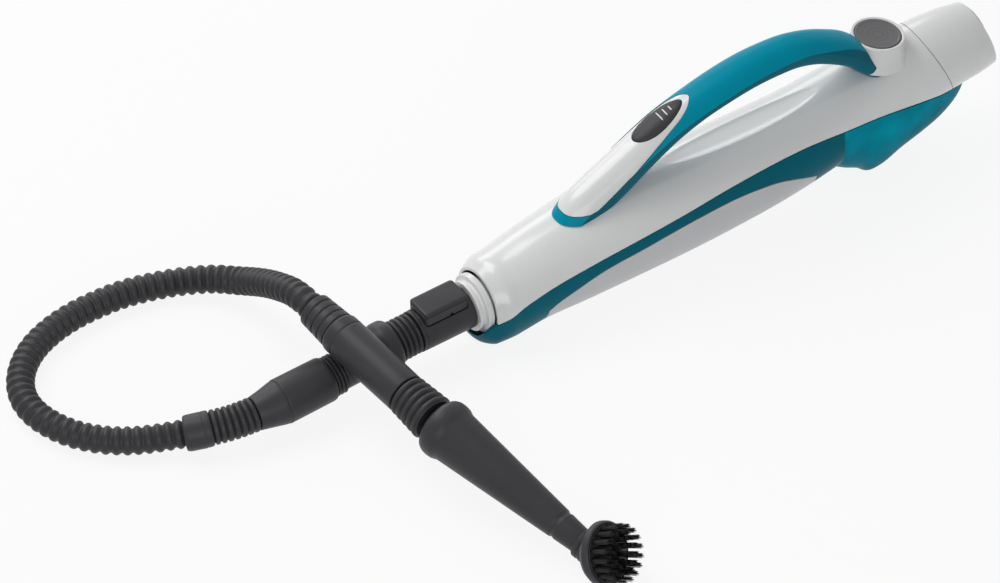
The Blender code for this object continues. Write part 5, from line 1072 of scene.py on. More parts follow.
# %% [markdown]
# ## The water tank
#
# A hollow moulding of tinted clear plastic. Its section is a rounded belly under a flat
# deck. The wall has an inner side too, because the tank comes out of its bay and is open
# at the filler and at the valve.

# %% The tank's section
TANK_JOINT = 0.0008
TANK_FULLNESS = 2.4
TANK_WALL = 0.0022
FILLER_SHARE = 0.752
FILLER_RADIUS = 0.0085
FILLER_WALL = 0.0025
FILLER_RISE = 0.0012
VALVE_SHARE = 0.826
VALVE_SEAT_RADIUS = 0.0070
VALVE_RADIUS = 0.0042
TANK_FOOT_SHARES = (0.7645, 0.7855)
# Underside of the tank, a little fuller than the solid's behind the foot
BELLY_SHARES = [
    (0.690, 0.285), (0.720, 0.150), (0.750, 0.035), (0.765, -0.050), (0.785, -0.050), (0.820, 0.070),
    (0.857, 0.170), (0.896, 0.282), (0.925, 0.412), (0.953, 0.620),
]


def tank_ring(share, inset, count=64):
    """Ring round the tank: its round belly, closed by the flat deck."""
    edge = body_point(share, edge_angle(share, UPPER_EDGE_SHARES), body_radius(share))
    top = edge.z - TANK_JOINT - inset
    half = edge.y - inset
    depth = max(top - edge_height(share, BELLY_SHARES) - inset, GAP)
    ring = []
    for turn in np.linspace(0, math.pi, count):
        across = half * math.copysign(abs(math.cos(turn)) ** (2 / TANK_FULLNESS), math.cos(turn))
        drop = depth * abs(math.sin(turn)) ** (2 / TANK_FULLNESS)
        ring.append(Vector((edge.x, across, max(top - drop, inset))))
    return ring


def deck_middle(share):
    x = body_x(share)
    return Vector((x, 0, edge_height(share, UPPER_EDGE_SHARES) - TANK_JOINT))


print("points round the tank:", len(tank_ring(0.8, 0.0)))

# %% [markdown]
# Two bosses are joined on for the filler and the valve before the room inside is cut, and
# the bores come last. In that order no boss is left closed, and none hangs in the room.

# %% The tank, its bosses and its bores
tank_start = TANK_START_SHARE + 2 * GAP / BODY_LENGTH
tank_stations = sorted(set(list(np.linspace(tank_start, TANK_END_SHARE, 60)) + list(TANK_FOOT_SHARES)))
tank = loft("clear_tank", [tank_ring(share, 0.0) for share in tank_stations], angle=40.0)
thick = TANK_WALL / BODY_LENGTH
room_stations = np.linspace(tank_start + thick, TANK_END_SHARE - 6 * thick, 40)
room = [tank_ring(share, TANK_WALL) for share in room_stations]
for share, radius in ((FILLER_SHARE, FILLER_RADIUS + FILLER_WALL), (VALVE_SHARE, VALVE_SEAT_RADIUS)):
    place = Matrix.Translation(deck_middle(share))
    carved(tank, turned("boss", [(-TANK_WALL, radius), (FILLER_RISE, radius)], place, size=0), "UNION")
carved(tank, loft("tank_room", room))
for share, radius in ((FILLER_SHARE, FILLER_RADIUS), (VALVE_SHARE, VALVE_RADIUS + GAP)):
    place = Matrix.Translation(deck_middle(share))
    carved(tank, turned("bore", [(-0.01, radius), (0.02, radius)], place, size=0), angle=40.0)
soften(tank, 0.0006)
dressed_as(tank, "water_tank", "tank", TANK)

# %% [markdown]
# ## The handle
#
# The loop has a broad top face that meets the side in a soft crease. The side below the
# crease is a darker copy of the teal, painted shade, so the colour changes there from bright
# to dark. Its section is a low dome over a rounded box, and the crease runs to the tail,
# where it climbs over the fork. The front foot, the cover's recess and the fork at the
# collar are cuts, as they'd be in the mould's own solid model.

# %% Tables of the handle
HANDLE_HEIGHT = 0.1355
HANDLE_HALF_WIDTH = 0.0140
HANDLE_HALF_HEIGHT = 0.0100
COVER_WALL = 0.0024
TOE_BAND = 0.0058
STEAM_BUTTON_SHARE = 0.381
STEAM_BUTTON_LENGTH = 0.0440
STEAM_BUTTON_WIDTH = 0.0180
STEAM_BUTTON_DEPTH = 0.0052
STEAM_BUTTON_RISE = 0.0010
STEAM_BUTTON_TRAVEL = 0.0012
SWITCH_POCKET_LENGTH = 0.0300
SWITCH_POCKET_WIDTH = 0.0120
STEAM_SWITCH_SIZE = (0.0200, 0.0064, 0.0070)
HANDLE_SHARES = [
    (0.165, 0.360, 1.00, 1.10), (0.190, 0.465, 1.06, 1.25), (0.215, 0.546, 1.10, 1.40),
    (0.252, 0.620, 1.11, 1.42), (0.282, 0.676, 1.11, 1.35), (0.330, 0.770, 1.08, 1.20),
    (0.381, 0.860, 1.04, 1.10), (0.440, 0.930, 1.00, 1.00), (0.491, 0.972, 1.00, 1.00),
    (0.546, 1.000, 1.00, 1.00), (0.590, 1.003, 1.00, 1.00), (0.628, 0.993, 1.00, 1.00),
    (0.669, 0.955, 1.02, 1.00), (0.708, 0.893, 1.10, 1.00), (0.745, 0.812, 1.26, 0.98),
    (0.762, 0.753, 1.38, 0.95), (0.785, 0.675, 1.50, 0.90), (0.806, 0.590, 1.56, 0.85),
    (0.822, 0.500, 1.60, 0.80),
]
COVER_EDGE_SHARES = [
    (0.165, 0.06), (0.282, 0.08), (0.340, 0.16), (0.381, 0.30), (0.410, 0.50), (0.428, 0.74),
    (0.439, 0.97),
]
# Points of half a section: its rounded box, its side up to the crease, and its dome
LOW_POINTS, SIDE_POINTS, TOP_POINTS = 16, 4, 14
# Where the crease lies: share of the body's length, share of the half width, share of the half height
CREASE_SHARES = [
    (0.165, 0.960, 0.30), (0.640, 0.960, 0.30), (0.690, 0.900, 0.46), (0.730, 0.740, 0.68),
    (0.770, 0.580, 0.80), (0.822, 0.480, 0.84),
]
# How much of the section's width is kept towards the tail
TAIL_SHARES = [(0.165, 1.0), (0.740, 1.0), (0.762, 0.97), (0.785, 0.87), (0.806, 0.74), (0.822, 0.62)]
print("handle stations:", len(HANDLE_SHARES))

# %% [markdown]
# One function gives the right half of the section, and its mirror image is the left half.
# All rings then have the same number of points, so the crease is always the same column.
# That is how the top can keep the plain teal while the rest takes its darker copy, painted shade.

# %% The handle's section
@lru_cache(maxsize=None)
def handle_share_place(share):
    """Centre, direction, outward normal and half sizes of the handle's section."""
    def centre(at):
        return Vector((body_x(at), 0, HANDLE_HEIGHT * read_shares(HANDLE_SHARES, at, 1)))
    step = 0.002
    along = (centre(share + step) - centre(share - step)).normalized()
    normal = along.cross(Vector((0, 1, 0))) * -1
    if normal.z < 0:
        normal = -normal
    half_width = HANDLE_HALF_WIDTH * read_shares(HANDLE_SHARES, share, 2)
    half_height = HANDLE_HALF_HEIGHT * read_shares(HANDLE_SHARES, share, 3)
    return centre(share), along, normal, half_width, half_height


@lru_cache(maxsize=None)
def creased_section(share, fine=1):
    """Right half of the section, bottom to top, in half widths and half heights."""
    across, up = read_shares(CREASE_SHARES, share, 1), read_shares(CREASE_SHARES, share, 2)
    wide, level = 0.965, min(up - 0.04, 0.22)
    low = [(wide * (1 - part ** 4) ** 0.5, level - (level + 1) * part)
           for part in np.linspace(1, 0, LOW_POINTS * fine)]
    side = [(wide + (across - wide) * part, level + (up - level) * part)
            for part in np.linspace(0, 1, SIDE_POINTS * fine)]
    top = [(across * part, 1 - (1 - up) * part ** 2.5) for part in np.linspace(1, 0, TOP_POINTS * fine)]
    return low + side[1:] + top[1:]


def place_on(share, across, up, grow=0.0):
    """Point in the handle's section at a share, from half widths and half heights."""
    middle, _, normal, half_width, half_height = handle_share_place(share)
    return middle + Vector((0, across * (half_width + grow), 0)) + normal * up * (half_height + grow)


print("points in half a section:", len(creased_section(0.5)))

# %% Rings and skin of the handle
def creased_ring(share):
    """Whole section, drawn in towards the tail, so that its prongs end beside the collar."""
    half, tail = creased_section(share), read_shares(TAIL_SHARES, share, 1)
    left = [(-across, up) for across, up in reversed(half[1:-1])]
    return [place_on(share, across * tail, up) for across, up in half + left]


def skin_point(share, turn, grow=0.0):
    """Point of the handle's skin at an angle of its section."""
    half = creased_section(share, 3)
    angles = [math.atan2(up, across) for across, up in half]
    across = math.copysign(abs(math.cos(turn)) ** 0.85, math.cos(turn))
    up = math.copysign(abs(math.sin(turn)) ** 0.85, math.sin(turn))
    reach = float(np.interp(math.atan2(up, abs(across)), angles, [math.hypot(*point) for point in half]))
    factor = reach / math.hypot(across, up)
    return place_on(share, across * factor, up * factor, grow)


print("points in a section:", len(creased_ring(0.5)))

# %% [markdown]
# The handle's foot must follow the body. A solid of the body's own outline, grown by a
# small clearance, cuts it, so the two still fit when a table changes.

# %% Solids that trim the handle and make its cover
def body_solid(name, grow):
    """Solid of the body's outline, grown by a clearance, that trims what stands on it."""
    rings = []
    for share in np.linspace(SHELL_START_SHARE, SEAM_SHARE, 110):
        radius = body_radius(share) + grow
        start = edge_angle(share, UPPER_EDGE_SHARES)
        ring = [body_point(share, angle, radius) for angle in np.linspace(start, math.pi - start, 64)]
        rings.append(ring + [body_point(share, -math.pi / 2, radius * 0.5)])
    return loft(name, rings)


def cover_skin(name, grow, lift, depth):
    """Cap over the front of the handle: grown at its edge, lifted off its skin and this deep."""
    start, tip = COVER_EDGE_SHARES[0][0], COVER_EDGE_SHARES[-1][0]
    rings = []
    shares = start + (tip - start) * np.sin(np.linspace(0, math.pi / 2, 70)) ** 1.2
    shares[-1] += grow / BODY_LENGTH
    for share in shares:
        edge = math.pi / 2 * min(0.985, read_shares(COVER_EDGE_SHARES, min(share, tip), 1))
        edge -= grow / HANDLE_HALF_WIDTH
        turns = np.linspace(edge, math.pi - edge, 41)
        skin = [skin_point(share, turn, lift) for turn in turns]
        under = [skin_point(share, turn, -depth) for turn in turns]
        rings.append(skin + under[::-1])
    return loft(name, rings, angle=40.0)


print("the cover runs over", round(1000 * BODY_LENGTH * (COVER_EDGE_SHARES[-1][0] - COVER_EDGE_SHARES[0][0])), "mm")

# %% [markdown]
# The steam key lies flush in the handle's curve, so its top is read from the handle's skin.
# Columns of skin heights are worked out once and then only looked up.

# %% The steam button's outline
def steam_button_seat():
    """Seat on the handle's skin under the steam button: local Z outwards, local Y along the handle."""
    middle, along, normal, _, half_height = handle_share_place(STEAM_BUTTON_SHARE)
    return seat_at(middle + normal * half_height, normal, up=along)


def skin_column(across):
    """Handle's skin over the button's seat this far across, as rising (along, height) pairs."""
    into = steam_button_seat().inverted()
    places = []
    for share in np.linspace(STEAM_BUTTON_SHARE - 0.08, STEAM_BUTTON_SHARE + 0.08, 33):
        half_width = handle_share_place(share)[3]
        top = creased_section(share, 3)[::-1][:42]
        up = float(np.interp(across / half_width, [x for x, _ in top], [y for _, y in top]))
        local = into @ place_on(share, across / half_width, up)
        places.append((local.y, local.z))
    return sorted(places)


COLUMN_STEP = 0.0006
COLUMN_COUNT = 20
SKIN_COLUMNS = [skin_column(COLUMN_STEP * index) for index in range(COLUMN_COUNT)]


def skin_height(along, across):
    """Height of the handle's skin over the steam button's seat."""
    column = SKIN_COLUMNS[min(COLUMN_COUNT - 1, round(abs(across) / COLUMN_STEP))]
    return float(np.interp(along, [y for y, _ in column], [z for _, z in column]))


def egg(grow, scale=1.0, count=96):
    """Egg outline of the steam button, wider at the front, as (across, along) pairs."""
    half_length = STEAM_BUTTON_LENGTH / 2 * scale + grow
    half_width = STEAM_BUTTON_WIDTH / 2 * scale + grow
    turns = np.linspace(0, 2 * math.pi, count + 1)[:-1]
    return [(half_width * math.cos(turn) * (1 - 0.16 * math.sin(turn)), half_length * math.sin(turn))
            for turn in turns]


def egg_prism(name, grow, low, high):
    seat = steam_button_seat()
    return loft(name, [[seat @ Vector((x, y, height)) for x, y in egg(grow)] for height in (low, high)])


def box(name, size, seat):
    """Plain box about the middle of a seat, for cuts and hidden parts."""
    x, y, z = (side / 2 for side in size)
    corners = ((-x, -y), (x, -y), (x, y), (-x, y))
    return loft(name, [[seat @ Vector((a, b, height)) for a, b in corners] for height in (-z, z)])


print("outline of the steam button:", len(egg(0)), "points")

# %% [markdown]
# The handle is lofted whole and then cut: foot, collar, the cover's recess, the key's
# pocket, the switch's room. Most cutters are the solid of the piece that goes there, grown
# by the gap between the two.

# %% Handle, with its recess and its feet
rings = [creased_ring(share) for share in np.linspace(HANDLE_SHARES[0][0], HANDLE_SHARES[-1][0], 120)]
crease = LOW_POINTS + SIDE_POINTS - 2
handle = loft("loop_handle", rings, angle=24.0, marked=range(crease, len(rings[0]) - crease))
carved(handle, body_solid("foot_room", 2 * GAP))
grown = [(-COLLAR_HEIGHT * low, wall + COLLAR_FLARE * out + 2 * GAP) for low, out in (
    (1.0, 1.0), (0.8, 0.66), (0.6, 0.4), (0.44, 0.16), (0.3, 0.0))] + [(2 * GAP, wall + 2 * GAP)]
carved(handle, turned("collar_room", grown, button_seat(), size=0.0009))
recess = cover_skin("cover_room", GAP, OUT, COVER_WALL + GAP)
carved(recess, body_solid("toe_room", TOE_BAND - GAP))
carved(handle, recess)
pocket = STEAM_BUTTON_DEPTH + STEAM_BUTTON_TRAVEL + 2 * GAP
carved(handle, egg_prism("button_pocket", GAP, -pocket, 2 * OUT))
depth = STEAM_BUTTON_DEPTH + STEAM_BUTTON_TRAVEL + 3 * GAP + STEAM_SWITCH_SIZE[2] + 3 * OUT
place = steam_button_seat() @ Matrix.Translation((0, 0, 3 * OUT - depth / 2))
carved(handle, box("switch_pocket", (SWITCH_POCKET_WIDTH, SWITCH_POCKET_LENGTH, depth), place))
soften(handle, 0.0005)
# Faces below the crease take the darker teal, painted shade; the top faces take the plain teal.
on_top = [face.material_index for face in handle.data.polygons]
dressed_as(handle, "handle_grip", "housing", SHADED_TEAL)
handle.data.materials.append(TEAL)
for face, bright in zip(handle.data.polygons, on_top):
    face.material_index = bright
print("bright faces:", sum(on_top), "of", len(on_top))

# %% [markdown]
# The cover is a cap over the front of the handle, 2.4 mm thick, with the window for the
# key. Its thickness shows as a real wall round that window.

# %% The white cover
cover = cover_skin("front_cover", 0, 0, COVER_WALL)
carved(cover, body_solid("toe_room", TOE_BAND))
carved(cover, egg_prism("window", GAP, -2 * OUT, 2 * OUT))
soften(cover, 0.0004)
dressed_as(cover, "handle_cover", "housing", WHITE)

# %% [markdown]
# ## The two buttons
#
# The steam button is an egg with a softly crowned top that follows the handle, and three
# short bars of falling length. The release button is dished and turned: fine rings run
# round its face, bumped as tool marks and toned light and dark as painted sheen, which is
# why it looks brushed.

# %% Steam button and its bars
seat = steam_button_seat()
rings = [[seat @ Vector((x, y, -STEAM_BUTTON_DEPTH)) for x, y in egg(0)]]
edge = [(1.0, 0.0016), (0.995, 0.0010), (0.98, 0.0005), (0.95, 0.0002), (0.90, 0.0)]
for scale, drop in edge + [(scale, 0.0) for scale in (0.75, 0.6, 0.45, 0.3, 0.15, 0.05)]:
    rise = STEAM_BUTTON_RISE - drop
    rings.append([seat @ Vector((x, y, skin_height(y, x) + rise)) for x, y in egg(0, scale)])
dressed_as(loft("egg_button", rings), "steam_button", "steam_key", DARK)

BAR_HALF_WIDTH, BAR_TIP, BAR_DEPTH, BAR_LIFT = 0.00045, 0.00003, -0.0004, 0.00012
work = bmesh.new()
for middle, length in ((0.0030, 0.0096), (0.0078, 0.0074), (0.0124, 0.0050)):
    rings = []
    for across in np.linspace(-length / 2, length / 2, 9):
        side = BAR_HALF_WIDTH * math.sqrt(max(0.0, 1 - (2 * across / length) ** 6)) + BAR_TIP
        ring = []
        for offset, lift in ((-side, BAR_DEPTH), (-side, BAR_LIFT), (side, BAR_LIFT), (side, BAR_DEPTH)):
            height = skin_height(middle + offset, across) + STEAM_BUTTON_RISE + lift
            ring.append(seat @ Vector((across, middle + offset, height)))
        rings.append(ring)
    add_skin(work, rings)
bars = finish("button_bars", work)
bars.data.materials.append(MARK)
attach(bars, "steam_key")
print("bars:", len(bars.data.polygons), "faces")

# %% [markdown]
# A tool that runs round a face leaves rings of uneven width. Noise along the distance from
# the axis gives exactly that, and a regular wave would look printed. The same noise also
# runs the colour from near black to mid grey: painted sheen of a turned face, over the
# tool's marks.

# %% The release button's turned rings
BUTTON_THICKNESS = 0.0050
BUTTON_CROWN = 0.0008
BUTTON_STEM_LENGTH = 0.0205

rings_group, _ = new_tree("turned_rings", "Shader", [
    ("Centre", "Vector"), ("Axis", "Vector"), ("Pitch", "Float")], [("Height", "Float"), ("Tone", "Float")])
given = put(rings_group, "NodeGroupInput").outputs
spot = put(rings_group, "ShaderNodeTexCoord").outputs["Object"]
offset = put(rings_group, "ShaderNodeVectorMath", {0: spot, 1: given["Centre"]}, operation="SUBTRACT")
flat = put(rings_group, "ShaderNodeVectorMath", {0: offset, 1: given["Axis"]}, operation="CROSS_PRODUCT")
reach = put(rings_group, "ShaderNodeVectorMath", {0: flat}, operation="LENGTH").outputs["Value"]
turns_out = figure(rings_group, "DIVIDE", reach, given["Pitch"])
wobble = put(rings_group, "ShaderNodeTexNoise", {"W": turns_out, "Scale": 1.0, "Detail": 3.0},
             noise_dimensions="1D")
put(rings_group, "NodeGroupOutput", {"Height": wobble, "Tone": wobble})

SPUN = finish_of("turned_grey", (0.105, 0.100, 0.106), 0.36, depth=0.00001, uneven=0.05)
spun_tree = SPUN.node_tree
spun_shader = spun_tree.nodes["Principled BSDF"]
spun = put(spun_tree, "ShaderNodeGroup", {"Centre": button_seat().translation, "Pitch": 0.0013,
                                          "Axis": button_seat().to_3x3().col[2]}, node_tree=rings_group)
groove = put(spun_tree, "ShaderNodeBump", {"Height": spun.outputs["Height"], "Distance": 0.00006,
                                           "Normal": spun_shader.inputs["Normal"].links[0].from_socket})
# The rings' colour from near black to mid grey is painted sheen, with the tool's marks.
shade = put(spun_tree, "ShaderNodeMix", {"Factor": spun.outputs["Tone"], "A": (0.034, 0.033, 0.036, 1),
                                         "B": (0.170, 0.167, 0.172, 1)}, data_type="RGBA")
spun_tree.links.new(groove.outputs[0], spun_shader.inputs["Normal"])
spun_tree.links.new(shade.outputs["Result"], spun_shader.inputs["Base Color"])

rim, crown = BUTTON_RADIUS, BUTTON_CROWN
outline = [
    (-BUTTON_STEM_LENGTH, 0), (-BUTTON_STEM_LENGTH, BUTTON_STEM_RADIUS), (-BUTTON_THICKNESS, BUTTON_STEM_RADIUS),
    (-BUTTON_THICKNESS, rim), (-crown * 0.5, rim), (0, rim - crown * 0.7), (0, rim * 0.90),
    (-crown * 0.30, rim * 0.875), (-crown * 0.35, rim * 0.85), (-crown * 0.75, rim * 0.55),
    (-crown * 0.95, rim * 0.28), (-crown, 0),
]
dressed_as(turned("dished_button", outline, button_seat(), size=0.0005), "release_button", "release", SPUN)

# %% [markdown]
# ## The connector and its latch
#
# A turned body plugs into the nose. The latch block sits in a pocket on top of it, with a
# groove line round it below its crown, and a small screw hole in each side. Its tongue
# runs forward along the plug to a tooth that catches in the nose ring's groove.

# %% Numbers and seat of the connector
LINE_BORE = 0.0045
LATCH_BLOCK_LENGTH = 0.0360
LATCH_BLOCK_WIDTH = 0.0220
LATCH_BLOCK_TOP = 0.0215
LATCH_BLOCK_SEAT = 0.0088
LATCH_BLOCK_SETBACK = 0.0040
LATCH_TRAVEL = 0.0020
LATCH_TONGUE_WIDTH = 0.0060
LATCH_TONGUE_THICKNESS = 0.0020
LATCH_TONGUE_LENGTH = 0.0175


def connector_seat():
    """Seat at the connector's face, with local Z out of the nose and local Y upwards."""
    return nose_seat() @ Matrix.Translation((0, 0, GAP))


print("connector's face at", connector_seat().translation)

# %% [markdown]
# One helper makes the block and its pocket, another the tongue and its slot. What is cut
# out has a clearance added, so it always fits what goes into it.

# %% Plans of the latch block and its tongue
def rounded_plan(width, length, corner, steps=8):
    """Rectangle with round corners about its middle, as (across, along) pairs."""
    points = []
    for quarter, (x, y) in enumerate(((1, 1), (-1, 1), (-1, -1), (1, -1))):
        for step in range(steps + 1):
            angle = math.radians(90 * (quarter + step / steps))
            points.append((x * (width / 2 - corner) + corner * math.cos(angle),
                           y * (length / 2 - corner) + corner * math.sin(angle)))
    return points


def latch_block(name, grow, levels):
    """Block over the connector from (height, inset) pairs, with round upright corners."""
    seat = connector_seat() @ Matrix.Translation((0, 0, LATCH_BLOCK_SETBACK + LATCH_BLOCK_LENGTH / 2))
    rings = []
    for height, inset in levels:
        plan = rounded_plan(LATCH_BLOCK_WIDTH + 2 * (grow - inset), LATCH_BLOCK_LENGTH + 2 * (grow - inset),
                            0.0026 - min(inset, 0.0012) * 0.5)
        rings.append([seat @ Vector((x, height, y)) for x, y in plan])
    return loft(name, rings)


def tongue_bar(name, grow, low, high):
    """Bar along the top of the plug for the latch's tongue."""
    start = LATCH_BLOCK_SETBACK + WALL + 2 * grow
    length = start + LATCH_TONGUE_LENGTH
    size = (LATCH_TONGUE_WIDTH + 2 * grow, high - low, length + grow)
    middle = Matrix.Translation((0, (low + high) / 2, start - (length + grow) / 2))
    return box(name, size, connector_seat() @ middle)


print("points in a rounded plan:", len(rounded_plan(LATCH_BLOCK_WIDTH, LATCH_BLOCK_LENGTH, 0.0026)))

# %% The connector's body
bore, shell = LINE_BORE, CONNECTOR_RADIUS
connector = turned("connector_body", [
    (-PLUG_LENGTH, bore), (-PLUG_LENGTH, PLUG_RADIUS - 0.0012), (-PLUG_LENGTH + 0.0012, PLUG_RADIUS),
    (0, PLUG_RADIUS), (0, shell - 0.0006), (0.0006, shell), (CONNECTOR_LENGTH * 0.93, shell),
    (CONNECTOR_LENGTH * 0.935, shell * 0.96), (CONNECTOR_LENGTH * 0.965, shell * 0.96),
    (CONNECTOR_LENGTH * 0.97, shell), (CONNECTOR_LENGTH, shell * 0.99), (CONNECTOR_LENGTH, bore),
], connector_seat(), size=0.0006, sides=128, closed=True)
pocket_levels = [(LATCH_BLOCK_SEAT, 0), (LATCH_BLOCK_TOP + OUT, 0)]
carved(connector, latch_block("latch_pocket", GAP, pocket_levels))
tongue_floor = LATCH_BLOCK_SEAT - LATCH_TONGUE_THICKNESS
carved(connector, tongue_bar("tongue_slot", GAP, tongue_floor, shell + OUT))
soften(connector, 0.0003)
dressed_as(connector, "hose_connector", "housing", DARK)

# %% [markdown]
# On the real latch this is one springy moulding. Here simple solids overlap and are joined
# by Booleans, so each can be moved or made longer alone.

# %% Latch block, tongue and tooth
low, top = LATCH_BLOCK_SEAT + LATCH_TRAVEL + GAP, LATCH_BLOCK_TOP
latch = latch_block("latch_block", 0, [
    (low, 0.0004), (low + 0.0004, 0), (top - 0.0034, 0), (top - 0.0030, 0.0006), (top - 0.0024, 0.0006),
    (top - 0.0020, 0), (top - 0.0012, 0.0001), (top - 0.0006, 0.0005), (top - 0.0002, 0.0012), (top, 0.0024)])
screw_seat = connector_seat() @ Matrix.Translation((0, 0.0121, 0.0185)) @ Matrix.Rotation(math.pi / 2, 4, "Y")
SCREW_DEPTH, SCREW_RADIUS = 0.0018, 0.0012
for wall_face in (-LATCH_BLOCK_WIDTH / 2, LATCH_BLOCK_WIDTH / 2):
    start, end = wall_face - SCREW_DEPTH, wall_face + SCREW_DEPTH
    hole = [(start, 0), (start, SCREW_RADIUS), (end, SCREW_RADIUS), (end, 0)]
    carved(latch, turned("screw_hole", hole, screw_seat, size=0, sides=32))
tongue_low = LATCH_BLOCK_SEAT + GAP
carved(latch, tongue_bar("tongue", 0, tongue_low, tongue_low + LATCH_TONGUE_THICKNESS), "UNION")
leg = Matrix.Translation((0, (tongue_low + low + WALL) / 2, LATCH_BLOCK_SETBACK + GAP + WALL / 2))
leg_size = (LATCH_TONGUE_WIDTH, low + WALL - tongue_low, WALL)
carved(latch, box("tongue_leg", leg_size, connector_seat() @ leg), "UNION")
tooth_top = PLUG_RADIUS + GAP + LATCH_GROOVE_DEPTH * 0.75
tooth = Matrix.Translation((0, (tongue_low + tooth_top) / 2, LATCH_GROOVE_WIDTH * 0.7 - PLUG_LENGTH - GAP))
tooth_size = (LATCH_TONGUE_WIDTH, tooth_top - tongue_low, WALL)
carved(latch, box("tooth", tooth_size, connector_seat() @ tooth), "UNION")
dressed_as(latch, "latch_button", "latch", DARK)

# %% [markdown]
# ## The brush
#
# The head is a bell with a thick rim and a sleeve that turns on the nozzle. Its bristles
# stand in round tufts, about forty strands to a tuft. Each tuft leans out a little, so
# the gaps between them open towards the tips.

# %% Bell and sleeve
BRUSH_RADIUS = 0.0230
BRUSH_AXIS = (0.372, -0.818, 0.4385)
BRUSH_BELL_DEPTH = 0.0150
BRUSH_RIM_DEPTH = 0.0055
BRUSH_SOCKET_RADIUS = 0.0115
BRISTLE_PAD_RADIUS = 0.0205
BRISTLE_PAD_THICKNESS = 0.0020
BRISTLE_LENGTH = 0.0150
BRISTLE_SPLAY = 0.06


def brush_seat():
    """Seat at the middle of the brush's rim, which rests on the ground."""
    axis = Vector(BRUSH_AXIS).normalized()
    reach = NOZZLE_SPIGOT_LENGTH * 0.75
    centre = nozzle_tip() + nozzle_direction() * reach + axis * (BRUSH_BELL_DEPTH * 0.87)
    centre.z = BRUSH_RIM_DEPTH * axis.z + BRUSH_RADIUS * math.sqrt(1 - axis.z ** 2)
    return seat_at(centre, axis)


rim, deep, recess = BRUSH_RADIUS, BRUSH_BELL_DEPTH, BRISTLE_PAD_RADIUS + GAP
bell = turned("brush_bell", [
    (-deep, 0), (-deep, rim * 0.45), (-deep * 0.86, rim * 0.66), (-deep * 0.62, rim * 0.88),
    (-BRUSH_RIM_DEPTH * 1.1, rim * 0.965), (-BRUSH_RIM_DEPTH, rim), (-0.0012, rim), (0, rim - 0.0010),
    (0, recess + 0.0004), (-0.0004, recess), (-BRISTLE_PAD_THICKNESS - GAP, recess),
    (-BRISTLE_PAD_THICKNESS - GAP, 0),
], brush_seat(), size=0.0010, sides=128)
neck = BRUSH_SOCKET_RADIUS
sleeve = turned("brush_sleeve", [
    (GAP, 0), (GAP, neck * 0.97), (0.0010, neck), (0.0042, neck), (0.0047, neck * 0.93), (0.0060, neck * 0.93),
    (0.0065, neck), (NOZZLE_SPIGOT_LENGTH * 1.2, neck * 0.99), (NOZZLE_SPIGOT_LENGTH * 1.2, 0),
], seat_at(nozzle_tip(), nozzle_direction()), size=0.0005)
carved(bell, sleeve, "UNION")
bore = NOZZLE_SPIGOT_RADIUS + GAP
hole = [(-OUT, 0), (-OUT, bore), (NOZZLE_SPIGOT_LENGTH + GAP, bore), (NOZZLE_SPIGOT_LENGTH + GAP, 0)]
carved(bell, turned("spigot_bore", hole, seat_at(nozzle_tip(), nozzle_direction()), size=0))
dressed_as(bell, "brush_head", "brush", DARK)

# %% [markdown]
# The tufts come from a tree of two steps. First a bundle: points scattered in a disc, each
# with a thin strand that leans out of the bundle. Then the bundle is set on every tuft's
# place, turned to that tuft's own direction, which the places carry as an attribute.

# %% A tree for tufts
tuft_tree, tuft_sockets = new_tree("tufts", "Geometry", [
    ("Geometry", "Geometry"), ("Strands", "Int"), ("Bundle Radius", "Float"), ("Length", "Float"),
    ("Thickness", "Float"), ("Seed", "Int"), ("Finish", "Material"),
], [("Geometry", "Geometry")])
tree = tuft_tree
given = put(tree, "NodeGroupInput").outputs


def random_float(low, high, seed_shift):
    """Random value per point, from the tree's seed and a shift of its own."""
    seed = figure(tree, "ADD", given["Seed"], float(seed_shift))
    made = put(tree, "FunctionNodeRandomValue", data_type="FLOAT")
    for socket in made.inputs:
        if socket.enabled and socket.name in ("Min", "Max"):
            socket.default_value = low if socket.name == "Min" else high
        if socket.enabled and socket.name == "Seed":
            tree.links.new(seed.outputs[0], socket)
    return next(socket for socket in made.outputs if socket.enabled)


turn = random_float(0.0, 2 * math.pi, 1)
reach = figure(tree, "MULTIPLY", figure(tree, "SQRT", random_float(0.0, 1.0, 2)), given["Bundle Radius"])
spot = put(tree, "ShaderNodeCombineXYZ", {"X": figure(tree, "MULTIPLY", figure(tree, "COSINE", turn), reach),
                                          "Y": figure(tree, "MULTIPLY", figure(tree, "SINE", turn), reach)})
dots = put(tree, "GeometryNodePoints", {"Count": given["Strands"], "Position": spot})
upright = put(tree, "ShaderNodeCombineXYZ", {"Z": given["Length"]})
lean = put(tree, "ShaderNodeVectorMath", {0: spot, 1: (0.3, 0.3, 0.3), 2: upright}, operation="MULTIPLY_ADD")
heading = put(tree, "FunctionNodeAlignRotationToVector", {"Vector": lean}, axis="Z")
tip = figure(tree, "MULTIPLY", given["Thickness"], 0.7)
strand = put(tree, "GeometryNodeMeshCone", {"Vertices": 5, "Side Segments": 2, "Radius Top": tip,
                                            "Radius Bottom": given["Thickness"], "Depth": given["Length"]})
shortened = put(tree, "ShaderNodeCombineXYZ", {"X": 1.0, "Y": 1.0, "Z": random_float(0.93, 1.0, 3)})
bundle = put(tree, "GeometryNodeInstanceOnPoints", {"Points": dots, "Instance": strand.outputs["Mesh"],
                                                    "Rotation": heading, "Scale": shortened})
facing = put(tree, "GeometryNodeInputNamedAttribute", {"Name": "facing"}, data_type="FLOAT_VECTOR")
facing_out = next(socket for socket in facing.outputs if socket.enabled)
pointing = put(tree, "FunctionNodeAlignRotationToVector", {"Vector": facing_out}, axis="Z")
stood = put(tree, "GeometryNodeInstanceOnPoints", {"Points": given["Geometry"], "Instance": bundle,
                                                   "Rotation": pointing})
end_tree(tree, stood, given["Finish"])
print("tree:", tree.name, len(tree.nodes), "nodes")

